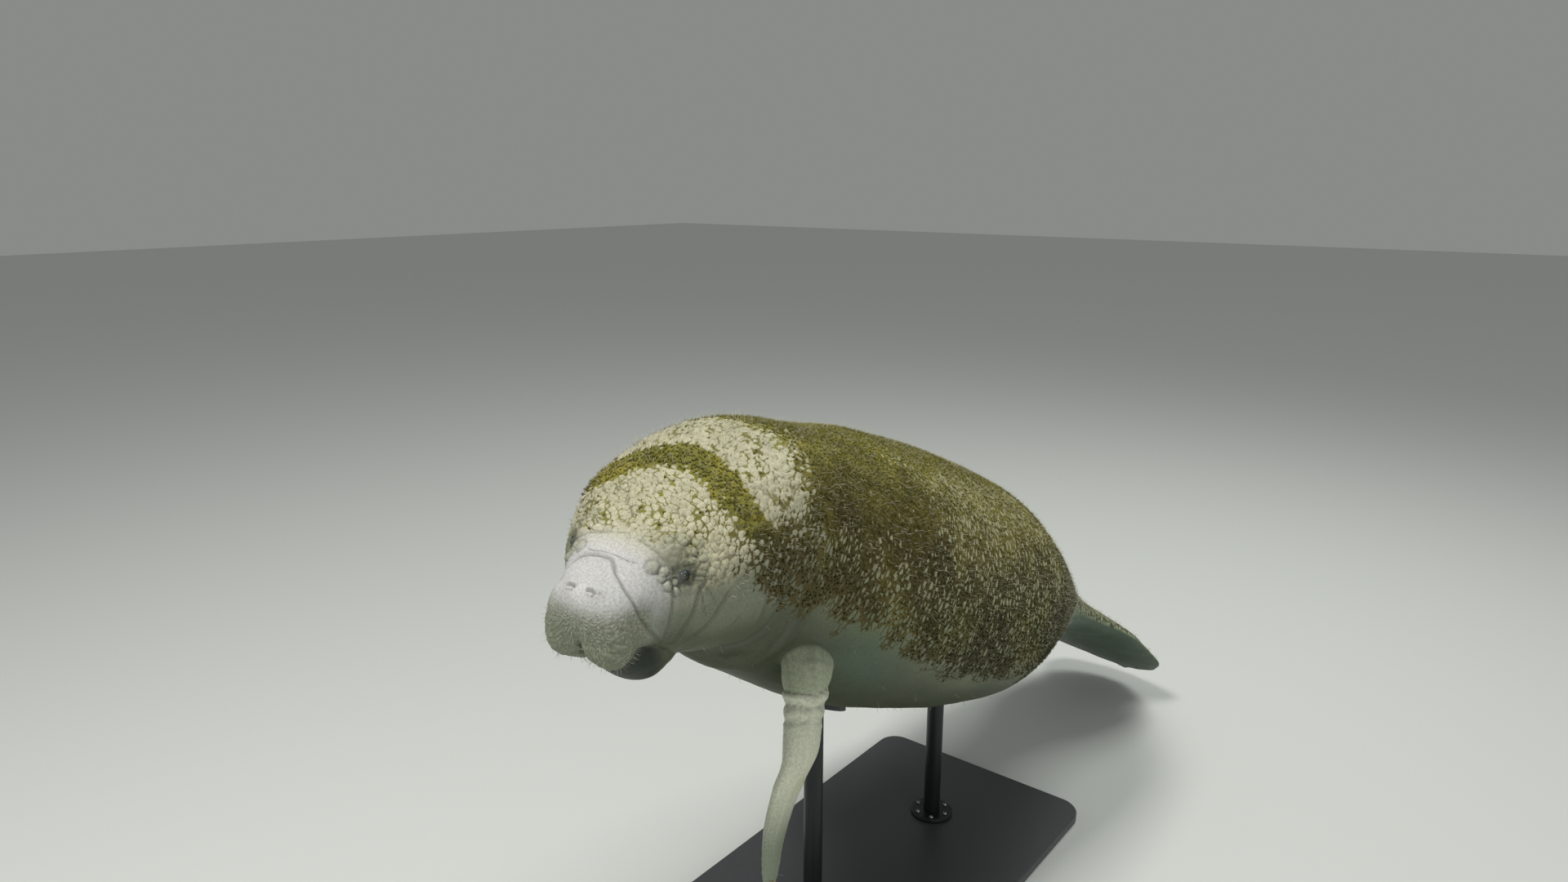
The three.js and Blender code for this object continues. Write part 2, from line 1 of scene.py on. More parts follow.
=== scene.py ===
"""A life-size manatee on a plain display stand, dressed around its frame.

The animal is one swept form. Its skin repeats the construction's spine and sections at a
fine pitch, and adds folds, lids, lips and cobbled skin. Metres, +Z up. The animal faces -Y
and its left side is +X.
"""

import json
import logging
import math
from collections.abc import Sequence
from dataclasses import asdict, dataclass, field
from enum import Enum

import bmesh
import bpy
import numpy as np
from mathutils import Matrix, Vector, noise

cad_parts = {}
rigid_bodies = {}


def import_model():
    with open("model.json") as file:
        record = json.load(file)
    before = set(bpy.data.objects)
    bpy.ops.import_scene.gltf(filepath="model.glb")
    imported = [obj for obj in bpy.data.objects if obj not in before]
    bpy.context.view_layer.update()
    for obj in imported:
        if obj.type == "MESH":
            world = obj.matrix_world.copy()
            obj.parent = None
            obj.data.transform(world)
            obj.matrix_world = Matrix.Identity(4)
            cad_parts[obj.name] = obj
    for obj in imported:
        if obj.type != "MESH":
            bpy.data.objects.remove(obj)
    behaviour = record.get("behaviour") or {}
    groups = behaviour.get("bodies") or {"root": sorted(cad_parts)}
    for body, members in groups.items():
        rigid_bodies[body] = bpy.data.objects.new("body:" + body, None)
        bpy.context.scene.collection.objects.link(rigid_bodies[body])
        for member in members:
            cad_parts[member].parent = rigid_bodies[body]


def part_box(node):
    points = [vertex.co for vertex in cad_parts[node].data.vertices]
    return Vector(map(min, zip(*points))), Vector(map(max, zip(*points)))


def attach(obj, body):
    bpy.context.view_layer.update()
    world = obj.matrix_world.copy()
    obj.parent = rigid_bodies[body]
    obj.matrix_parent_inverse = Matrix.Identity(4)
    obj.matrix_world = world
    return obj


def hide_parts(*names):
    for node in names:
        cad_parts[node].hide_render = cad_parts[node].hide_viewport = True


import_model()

log = logging.getLogger("manatee")

Array = np.ndarray
Socket = bpy.types.NodeSocket

FULL_TURN = 2 * math.pi
TINY = 1e-6
EYE_AT = 0.158


class Smooth:
    """A smooth curve through knots that never overshoots them."""

    def __init__(self, knots: Sequence[tuple[float, float]]) -> None:
        """Works out the slope at each knot.

        Args:
            knots: (place, value) pairs, with the places rising.
        """
        self.x, self.y = np.array(knots, float).T
        step = np.diff(self.x)
        slope = np.diff(self.y) / step
        self.tangent = np.zeros_like(self.y)
        before, after = 2 * step[1:] + step[:-1], step[1:] + 2 * step[:-1]
        same = slope[:-1] * slope[1:] > 0
        low, high = np.where(same, slope[:-1], 1.0), np.where(same, slope[1:], 1.0)
        self.tangent[1:-1] = np.where(same, (before + after) / (before / low + after / high), 0.0)
        self.tangent[0] = self._end(step[0], step[1], slope[0], slope[1])
        self.tangent[-1] = self._end(step[-1], step[-2], slope[-1], slope[-2])

    @staticmethod
    def _end(near: float, far: float, slope_near: float, slope_far: float) -> float:
        """The slope at the first or last knot.

        Args:
            near: The step next to the knot.
            far: The step after it.
            slope_near: The slope over the first.
            slope_far: The slope over the second.

        Returns:
            The slope.
        """
        tangent = ((2 * near + far) * slope_near - near * slope_far) / (near + far)
        if tangent * slope_near <= 0:
            return 0.0
        if slope_near * slope_far <= 0 and abs(tangent) > 3 * abs(slope_near):
            return 3 * slope_near
        return tangent

    def __call__(self, place: Array | float) -> Array:
        """The curve's values at these places.

        Args:
            place: Places along the curve.

        Returns:
            A value for each.
        """
        at = np.clip(np.asarray(place, float), self.x[0], self.x[-1])
        i = np.clip(np.searchsorted(self.x, at, side="left") - 1, 0, len(self.x) - 2)
        step = self.x[i + 1] - self.x[i]
        u = (at - self.x[i]) / step
        rest = 1 - u
        return (
            self.y[i] * (1 + 2 * u) * rest**2
            + step * self.tangent[i] * u * rest**2
            + self.y[i + 1] * u**2 * (3 - 2 * u)
            - step * self.tangent[i + 1] * u**2 * rest
        )


def signed_power(value: Array, power: float) -> Array:
    """The power of a value's size, with the value's sign."""
    return np.sign(value) * np.abs(value) ** power


def ease(value: Array, low: float, high: float) -> Array:
    """A smooth step from 0 at low to 1 at high, which may be the other way about."""
    share = np.clip((value - low) / (high - low), 0, 1)
    return share * share * (3 - 2 * share)


def bell(value: Array, middle: float, width: float) -> Array:
    """A bell that is 1 at the middle and fades over the width."""
    return np.exp(-(((value - middle) / width) ** 2))


def unit(vectors: Array) -> Array:
    """The vectors at length one."""
    return vectors / np.maximum(np.linalg.norm(vectors, axis=-1, keepdims=True), 1e-12)


@dataclass
class Spine:
    """The line the body is swept along, and its directions at each place."""

    anchor_point: Vector
    length: float = 3.0
    anchor: float = 1.2
    step: float = 0.005
    pitch: tuple = ((0, -5.3), (0.3, -5.3), (0.7, 34.9), (1.4, 16.5), (2.2, 30), (2.5, 35), (3.0, 37))
    turn: tuple = ((0, 13.2), (0.35, 13.2), (0.8, 0), (1.9, 0), (3.0, -22))
    body_roll: float = -10.1
    head_roll: float = 3.9
    head_roll_span: tuple[float, float] = (0.8, 0.35)
    tail_roll: float = 19.0
    tail_roll_span: tuple[float, float] = (1.9, 2.5)
    search_steps: int = 240

    def __post_init__(self) -> None:
        """Walks the line back from the snout and moves its anchor to its place."""
        self._pitch, self._turn = Smooth(self.pitch), Smooth(self.turn)
        count = round(self.length / self.step)
        ahead, _, _ = self.directions((np.arange(count) + 0.5) * self.step)
        line = np.vstack([np.zeros(3), np.cumsum(-self.step * ahead, axis=0)])
        line -= line[round(self.anchor / self.step)]
        self.places = np.arange(count + 1) * self.step
        self.line = line + np.array(self.anchor_point)

    def directions(self, at: Array) -> tuple[Array, Array, Array]:
        """The body's directions at places along it: ahead, to the left and up.

        Args:
            at: Places along the spine.

        Returns:
            Unit vectors ahead, to the left and up.
        """
        at = np.asarray(at, float)
        pitch, turn = np.radians(self._pitch(at)), np.radians(self._turn(at))
        head, tail = (np.clip((at - start) / (end - start), 0, 1)
                      for start, end in (self.head_roll_span, self.tail_roll_span))
        roll = np.radians(self.body_roll + self.head_roll * head + self.tail_roll * tail)[..., None]
        ahead = np.stack([np.sin(turn) * np.cos(pitch), -np.cos(turn) * np.cos(pitch), np.sin(pitch)], -1)
        left = np.stack([np.cos(turn), np.sin(turn), 0 * turn], -1)
        up = np.cross(ahead, left)
        return ahead, left * np.cos(roll) + up * np.sin(roll), up * np.cos(roll) - left * np.sin(roll)

    def centre(self, at: Array) -> Array:
        """The line's points at these places."""
        return np.stack([np.interp(at, self.places, self.line[:, axis]) for axis in range(3)], -1)

    def place(self, at: Array, side: Array, up: Array) -> Array:
        """Points given by their place along the spine, to the left and up."""
        _, left, above = self.directions(at)
        return self.centre(at) + np.asarray(side)[..., None] * left + np.asarray(up)[..., None] * above

    def locate(self, points: Array, low: float, high: float) -> tuple[Array, Array, Array]:
        """Where points lie in the body's own directions.

        Args:
            points: The points.
            low: The least place along the spine that is looked at.
            high: The greatest.

        Returns:
            The place along the spine, the distance to the left and the distance up.
        """
        places = np.linspace(low, high, self.search_steps)
        ahead, _, _ = self.directions(places)
        beyond = np.einsum("pij,ij->pi", points[:, None] - self.centre(places)[None], ahead)
        at = np.array([np.interp(0, row, places) for row in beyond])
        _, left, up = self.directions(at)
        off = points - self.centre(at)
        return at, np.einsum("ij,ij->i", off, left), np.einsum("ij,ij->i", off, up)


@dataclass(frozen=True)
class SoftForm:
    """A soft rise or hollow of the head."""

    at: float
    side: float
    up: float
    reach: tuple[float, float, float]
    rise: float
    paired: bool = True

    def lift(self, at: Array, side: Array, up: Array) -> Array:
        """How far it lifts the surface at these places.

        Args:
            at: Places along the spine.
            side: Distances to its left.
            up: Heights above it.

        Returns:
            The rise at each point.
        """
        off = np.abs(side) - self.side if self.paired else side
        along, across, high = self.reach
        return self.rise * np.exp(
            -(((at - self.at) / along) ** 2) - (off / across) ** 2 - ((up - self.up) / high) ** 2
        )


@dataclass
class BodyForm:
    """The smooth outer form, from the snout to the end of the tail, without the flippers."""

    spine: Spine
    inset: float = 0.003
    section_power: float = 2.2
    snout_rounding: float = 0.06
    snout_power: float = 2.6
    muzzle_length: float = 0.15
    muzzle_taper: float = 0.16
    taper_lean: float = 0.35
    forms_end: float = 0.42
    mouth_depth: float = 0.009
    mouth_width: float = 0.007
    sections: tuple = (
        (0.060, 0.086, 0.058, 0.104),
        (0.100, 0.100, 0.074, 0.112),
        (0.145, 0.125, 0.090, 0.128),
        (0.200, 0.162, 0.110, 0.172),
        (0.300, 0.206, 0.152, 0.212),
        (0.420, 0.224, 0.187, 0.250),
        (0.600, 0.256, 0.230, 0.312),
        (0.850, 0.319, 0.322, 0.312),
        (1.150, 0.354, 0.354, 0.303),
        (1.450, 0.376, 0.330, 0.307),
        (1.750, 0.312, 0.238, 0.274),
        (2.000, 0.234, 0.158, 0.174),
        (2.200, 0.180, 0.104, 0.098),
        (2.330, 0.168, 0.076, 0.067),
        (2.450, 0.190, 0.062, 0.052),
        (2.620, 0.240, 0.044, 0.038),
        (2.800, 0.238, 0.030, 0.027),
        (2.920, 0.178, 0.020, 0.018),
        (2.975, 0.104, 0.012, 0.011),
        (3.000, 0.034, 0.006, 0.006),
    )
    forms: tuple[SoftForm, ...] = (
        SoftForm(0.034, 0.050, -0.078, (0.034, 0.027, 0.034), 0.017),
        SoftForm(0.044, 0.080, -0.054, (0.034, 0.030, 0.034), 0.009),
        SoftForm(0.006, 0.0, -0.084, (0.034, 0.009, 0.034), -0.016, False),
        SoftForm(0.024, 0.025, 0.048, (0.020, 0.014, 0.014), 0.005),
        SoftForm(0.084, 0.0, 0.074, (0.010, 0.080, 0.060), -0.005, False),
        SoftForm(0.165, 0.088, 0.084, (0.030, 0.026, 0.024), 0.009),
        SoftForm(0.158, 0.118, 0.038, (0.018, 0.020, 0.016), -0.006),
        SoftForm(0.205, 0.132, -0.052, (0.046, 0.044, 0.050), 0.010),
    )
    jaw: tuple = (
        (0.104, 0.034, -0.118, -0.148),
        (0.116, 0.056, -0.108, -0.176),
        (0.136, 0.068, -0.102, -0.198),
        (0.162, 0.072, -0.102, -0.209),
        (0.192, 0.070, -0.108, -0.209),
        (0.220, 0.058, -0.120, -0.203),
        (0.242, 0.038, -0.134, -0.195),
    )

    def __post_init__(self) -> None:
        """Makes the curves of half width, height and depth."""
        table = np.array(self.sections)
        self.half = Smooth(table[:, [0, 1]])
        self.top = Smooth(table[:, [0, 2]])
        self.bottom = Smooth(table[:, [0, 3]])
        jaw = np.array(self.jaw)
        self.jaw_half = Smooth(jaw[:, [0, 1]])
        self.jaw_middle = Smooth(np.stack([jaw[:, 0], (jaw[:, 2] + jaw[:, 3]) / 2], 1))
        self.jaw_tall = Smooth(np.stack([jaw[:, 0], (jaw[:, 2] - jaw[:, 3]) / 2], 1))

    def jaw_reach(self, at: Array, side: Array, up: Array) -> Array:
        """How far from the spine line the lower jaw reaches, in the direction of each point.

        Args:
            at: Places along the spine.
            side: Distances to its left.
            up: Heights above it.

        Returns:
            The reach at each point.
        """
        start, end = self.jaw[0][0], self.jaw[-1][0]
        ends = ease(at, start - 0.008, start + 0.004) * ease(at, end + 0.05, end - 0.03)
        close = np.sqrt(np.clip(ends, TINY, 1))
        half, tall = self.jaw_half(at) * close, self.jaw_tall(at) * close
        middle = self.jaw_middle(at)
        far = np.hypot(side, up)
        across, rise = side / far, up / far
        square = (across / half) ** 2 + (rise / tall) ** 2
        slant = middle * rise / tall**2
        inside = slant**2 - square * ((middle / tall) ** 2 - 1)
        reach = (slant + np.sqrt(np.maximum(inside, 0)) - 1.2 * np.sqrt(np.maximum(-inside, 0))) / square
        return reach * ease(at, start - 0.010, start + 0.003) * ease(at, end + 0.050, end - 0.010)

    def with_jaw(self, at: Array, side: Array, up: Array) -> tuple[Array, Array]:
        """The section with the lower jaw joined to it, and the mouth's groove between the two.

        Args:
            at: Places along the spine.
            side: Distances to its left.
            up: Heights above it.

        Returns:
            The new distances to the left and heights.
        """
        far = np.maximum(np.hypot(side, up), TINY)
        reach = np.where(up < 0, self.jaw_reach(at, side, np.minimum(up, -TINY)), 0.0) - self.inset
        soft = 0.0022 + 0.011 * ease(at, 0.15, 0.22)
        over = np.clip((reach - far) / soft, -40, 40)
        joined = far + soft * np.log1p(np.exp(over))
        groove = self.mouth_depth * ease(at, 0.205, 0.150) * bell(reach - far, 0.0, self.mouth_width)
        share = (joined - groove) / far
        return side * share, up * share

    def plain(self, at: Array, turn: Array) -> tuple[Array, Array]:
        """The plain section: side and height at each place and angle round it.

        Args:
            at: Places along the spine.
            turn: Angles round it.

        Returns:
            Distances to the left and heights.
        """
        ahead = np.clip(at / self.snout_rounding, 0, 1)
        closing = (1 - (1 - ahead) ** self.snout_power) ** (1 / self.snout_power)
        rise = signed_power(np.sin(turn), 2 / self.section_power)
        muzzle = np.clip(1.5 * (1 - at / self.muzzle_length), 0, 1)
        taper = 1 - self.muzzle_taper * muzzle * (rise + self.taper_lean)
        across = signed_power(np.cos(turn), 2 / self.section_power)
        tall = np.where(rise > 0, self.top(at), self.bottom(at))
        return self.half(at) * closing * taper * across, closing * tall * rise

    def lift(self, at: Array, side: Array, up: Array) -> Array:
        """How far the head's soft forms lift the surface."""
        total = sum(form.lift(at, side, up) for form in self.forms)
        return np.where(at < self.forms_end, total, 0.0)

    def point(self, at: Array, turn: Array, grow: Array | float = 0.0) -> Array:
        """Points of the surface.

        Args:
            at: Places along the spine.
            turn: Angles round it, from the left side towards the back.
            grow: How far outside the form they are.

        Returns:
            The points.
        """
        at, turn = np.asarray(at, float), np.asarray(turn, float)
        side, up = self.plain(at, turn)
        amount = self.lift(at, side, up) + grow - self.inset * ease(at, 3.0, 2.9)
        facing = np.clip(1 - at / self.snout_rounding, 0, 1) ** self.snout_power
        tall = np.where(up > 0, self.top(at), self.bottom(at))
        outward = unit(np.stack([side / self.half(at) ** 2, up / tall**2], -1))
        sideways = amount * np.sqrt(1 - facing)
        forwards = amount * np.sqrt(facing)
        ahead, _, _ = self.spine.directions(at)
        side, up = side + outward[..., 0] * sideways, up + outward[..., 1] * sideways
        side, up = self.with_jaw(at, side, up)
        return self.spine.place(at, side, up) + ahead * forwards[..., None]

    def share_inside(self, at: Array, side: Array, up: Array) -> tuple[Array, Array]:
        """How far out points lie, as a share of the section, and their angle round it.

        Args:
            at: Places along the spine.
            side: Distances to its left.
            up: Heights above it.

        Returns:
            The shares and the angles.
        """
        half = self.half(at) - self.inset
        tall = np.where(up > 0, self.top(at), self.bottom(at)) - self.inset
        across, rise = np.abs(side / half), np.abs(up / tall)
        share = (across**self.section_power + rise**self.section_power) ** (1 / self.section_power)
        power = self.section_power / 2
        turn = np.arctan2(np.sign(up) * (rise / share) ** power, np.sign(side) * (across / share) ** power)
        return share, turn


def anchor_point() -> Vector:
    """Where the spine's anchor is, worked out from the stand's base board.

    Returns:
        The point.
    """
    floor_below_anchor = 0.890
    base_middle_y = 0.020
    low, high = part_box("stand_base")
    return Vector(((low.x + high.x) / 2, (low.y + high.y) / 2 - base_middle_y, low.z + floor_below_anchor))


@dataclass(frozen=True)
class FlipperStation:
    """One station of a flipper: its middle, its front edge's direction, half chord and half thickness."""

    middle: Array
    front: Array
    chord: float
    thick: float


@dataclass
class FlipperForm:
    """A flipper's outer form, from inside the body to its tip."""

    stations: Sequence[FlipperStation]
    hand: int
    inset: float = 0.003
    most_inset_share: float = 0.25
    front_weight: float = 0.2

    def __post_init__(self) -> None:
        """Makes the curves along the flipper."""
        self._middles = np.array([station.middle for station in self.stations])
        self._fronts = np.array([station.front for station in self.stations])
        last = len(self.stations) - 1
        self._chord = Smooth([(i / last, station.chord) for i, station in enumerate(self.stations)])
        self._thick = Smooth([(i / last, station.thick) for i, station in enumerate(self.stations)])

    def _centre(self, share: Array) -> tuple[Array, Array]:
        """Points of the middle line and its direction, on a centripetal spline through the stations.

        Args:
            share: Shares of the flipper's length.

        Returns:
            The points and unit directions.
        """
        knots = self._middles
        line = np.vstack([2 * knots[0] - knots[1], knots, 2 * knots[-1] - knots[-2]])
        place = np.clip(share, 0, 1) * (len(knots) - 1)
        i = np.minimum(place.astype(int), len(knots) - 2)
        w = (place - i)[:, None]
        before, start, end, after = line[i], line[i + 1], line[i + 2], line[i + 3]
        first, own, last = (np.sqrt(np.linalg.norm(b - a, axis=1))[:, None] for a, b in
                            ((before, start), (start, end), (end, after)))
        leave = ((start - before) / first - (end - before) / (first + own) + (end - start) / own) * own
        arrive = ((end - start) / own - (after - start) / (own + last) + (after - end) / last) * own
        bend = 2 * start - 2 * end + leave + arrive
        swing = 3 * end - 3 * start - 2 * leave - arrive
        point = bend * w**3 + swing * w**2 + leave * w + start
        return point, unit(3 * bend * w**2 + 2 * swing * w + leave)

    def frame(self, share: Array) -> tuple[Array, Array, Array, Array, Array, Array]:
        """The flipper's middle, directions (along, front, outer), half chord and half thickness.

        Args:
            share: Shares of the flipper's length.

        Returns:
            Arrays with a row for each share.
        """
        share = np.asarray(share, float)
        middle, along = self._centre(share)
        place = np.clip(share, 0, 1) * (len(self.stations) - 1)
        i = np.minimum(place.astype(int), len(self.stations) - 2)
        w = (place - i)[:, None]
        front = self._fronts[i] * (1 - w) + self._fronts[i + 1] * w
        front = unit(front - along * np.einsum("ij,ij->i", front, along)[:, None])
        outer = unit(np.cross(front, along)) * self.hand
        return middle, along, front, outer, self._chord(share), self._thick(share)

    def point(self, share: Array, around: Array) -> Array:
        """Points of the surface.

        Args:
            share: Shares of the flipper's length.
            around: Angles from the front edge towards the outer face.

        Returns:
            The points.
        """
        middle, _, front, outer, chord, thick = self.frame(share)
        inset = np.minimum(self.inset, self.most_inset_share * thick)
        across = (chord - inset) * np.cos(around)
        high = (thick - inset) * np.sin(around) * (1 + self.front_weight * np.cos(around))
        return middle + front * across[:, None] + outer * high[:, None]


def left_flipper(anchor: Array) -> FlipperForm:
    """The left flipper, which hangs: stations from the spine's anchor, with each front edge's turn.

    Args:
        anchor: The spine's anchor.

    Returns:
        The flipper's form.
    """
    stations = (
        (0.128, -0.480, 0.120, 0.072, 0.046, 4),
        (0.176, -0.524, 0.074, 0.076, 0.047, 5),
        (0.200, -0.556, 0.032, 0.076, 0.044, 7),
        (0.207, -0.570, -0.014, 0.072, 0.039, 9),
        (0.216, -0.592, -0.074, 0.066, 0.032, 10),
        (0.226, -0.616, -0.132, 0.069, 0.027, 9),
        (0.218, -0.642, -0.188, 0.076, 0.023, 11),
        (0.212, -0.667, -0.248, 0.078, 0.019, 16),
        (0.212, -0.685, -0.303, 0.070, 0.014, 19),
        (0.215, -0.697, -0.347, 0.054, 0.010, 19),
        (0.219, -0.703, -0.375, 0.034, 0.007, 18),
        (0.221, -0.706, -0.387, 0.014, 0.004, 18),
    )
    made = []
    for x, y, z, chord, thick, turn in stations:
        front = np.array([math.sin(math.radians(turn)), -math.cos(math.radians(turn)), 0])
        made.append(FlipperStation(anchor + np.array([x, y, z]), front, chord, thick))
    return FlipperForm(made, 1)


def right_flipper(body: BodyForm) -> FlipperForm:
    """The right flipper, held back along the flank: stations by place, angle and height off the skin.

    Args:
        body: The animal's form.

    Returns:
        The flipper's form.
    """
    stations = (
        (0.700, 216, -0.090, 0.066, 0.046),
        (0.745, 216, -0.022, 0.072, 0.044),
        (0.795, 216, 0.026, 0.072, 0.037),
        (0.860, 216, 0.050, 0.066, 0.031),
        (0.930, 216, 0.055, 0.069, 0.026),
        (1.000, 216, 0.050, 0.076, 0.022),
        (1.065, 215, 0.044, 0.077, 0.018),
        (1.120, 214, 0.040, 0.068, 0.014),
        (1.160, 213, 0.038, 0.052, 0.010),
        (1.185, 212, 0.037, 0.033, 0.007),
        (1.196, 212, 0.037, 0.014, 0.004),
    )
    step = 0.02
    made = []
    for at, turn, off, chord, thick in stations:
        angle = math.radians(turn)
        ahead, behind = body.point(at, angle + step), body.point(at, angle - step)
        front = (ahead - behind) / np.linalg.norm(ahead - behind)
        made.append(FlipperStation(body.point(at, angle, off + body.inset), front, chord, thick))
    return FlipperForm(made, -1)


def rgb(red: int, green: int, blue: int) -> Array:
    """A colour from 0 to 255 a channel, as linear light."""
    share = np.array([red, green, blue]) / 255
    return np.where(share <= 0.04045, share / 12.92, ((share + 0.055) / 1.055) ** 2.4)


def mixed(first: Array, second: Array, weight: Array) -> Array:
    """One colour, or set of colours, turned into another by a weight for each point."""
    return first * (1 - weight[:, None]) + second * weight[:, None]


class Region(Enum):
    """Which form a part of the skin follows."""

    BODY = 0
    LEFT_FLIPPER = 1
    RIGHT_FLIPPER = 2


@dataclass
class Patchwork:
    """The skin's points and faces as they are made, with where each point lies on the animal."""

    points: list[Array] = field(default_factory=list)
    at: list[Array] = field(default_factory=list)
    turn: list[Array] = field(default_factory=list)
    region: list[Array] = field(default_factory=list)
    share: list[Array] = field(default_factory=list)
    quads: list[Array] = field(default_factory=list)
    triangles: list[Array] = field(default_factory=list)
    count: int = 0

    def add(self, points: Array, at: Array, turn: Array, region: Region = Region.BODY,
            share: Array | float = 0.0) -> Array:
        """Adds points and gives their numbers.

        Args:
            points: The points.
            at: Places along the spine.
            turn: Angles round it.
            region: Which form they follow.
            share: How far along the flipper they are.

        Returns:
            The points' numbers.
        """
        size = len(points)
        self.points.append(points)
        self.at.append(np.broadcast_to(at, size).astype(float))
        self.turn.append(np.broadcast_to(turn, size).astype(float))
        self.region.append(np.full(size, region.value))
        self.share.append(np.broadcast_to(share, size).astype(float))
        self.count += size
        return np.arange(self.count - size, self.count)

    def join(self, ring: Array, following: Array) -> None:
        """Quads between two closed rings with as many points each."""
        self.quads.append(np.stack([ring, following, np.roll(following, -1), np.roll(ring, -1)], 1))

    def halve(self, ring: Array, following: Array) -> None:
        """Triangles between a ring and one with half as many points.

        Args:
            ring: The ring's point numbers.
            following: The next ring's.
        """
        first, middle, last = ring[::2], ring[1::2], np.roll(ring, -2)[::2]
        near, far = following, np.roll(following, -1)
        for corners in ((first, near, middle), (middle, near, far), (middle, far, last)):
            self.triangles.append(np.stack(corners, 1))

    def cap(self, ring: Array, hub: int, behind: bool) -> None:
        """Triangles from a ring to one point, which is behind or in front of it.

        Args:
            ring: The ring's point numbers.
            hub: The point's number.
            behind: Whether the point is behind the ring.
        """
        hubs = np.full(len(ring), hub)
        order = (ring, hubs, np.roll(ring, -1)) if behind else (hubs, ring, np.roll(ring, -1))
        self.triangles.append(np.stack(order, 1))


@dataclass
class SkinMap:
    """Everything known of each point of the finished patchwork."""

    points: Array
    at: Array
    turn: Array
    region: Array
    share: Array
    quads: Array
    triangles: Array

    @classmethod
    def of(cls, work: Patchwork) -> "SkinMap":
        """Joins a patchwork's lists and drops the points that no face uses.

        Args:
            work: The finished patchwork.

        Returns:
            The skin.
        """
        quads, triangles = np.vstack(work.quads), np.vstack(work.triangles)
        used = np.unique(np.concatenate([quads.ravel(), triangles.ravel()]))
        number = np.full(work.count, -1)
        number[used] = np.arange(len(used))
        lists = (work.points, work.at, work.turn, work.region, work.share)
        columns = [np.concatenate(column)[used] for column in lists]
        return cls(*columns, number[quads], number[triangles])

    def normals(self) -> Array:
        """The normal at each point, from the faces round it.

        Returns:
            A unit vector for each point.
        """
        a, b, c, d = (self.points[column] for column in self.quads.T)
        e, f, g = (self.points[column] for column in self.triangles.T)
        total = np.zeros_like(self.points)
        for faces, normal in ((self.quads, np.cross(c - a, d - b)), (self.triangles, np.cross(f - e, g - e))):
            for column in faces.T:
                for axis in range(3):
                    total[:, axis] += np.bincount(column, normal[:, axis], len(total))
        return unit(total)

    @property
    def on_body(self) -> Array:
        """Which points aren't on a flipper."""
        return self.region == Region.BODY.value

    def back_angle(self) -> Array:
        """How far round each point is from the middle of the back, in degrees. The left side is negative."""
        return (np.degrees(self.turn) - 90 + 180) % 360 - 180


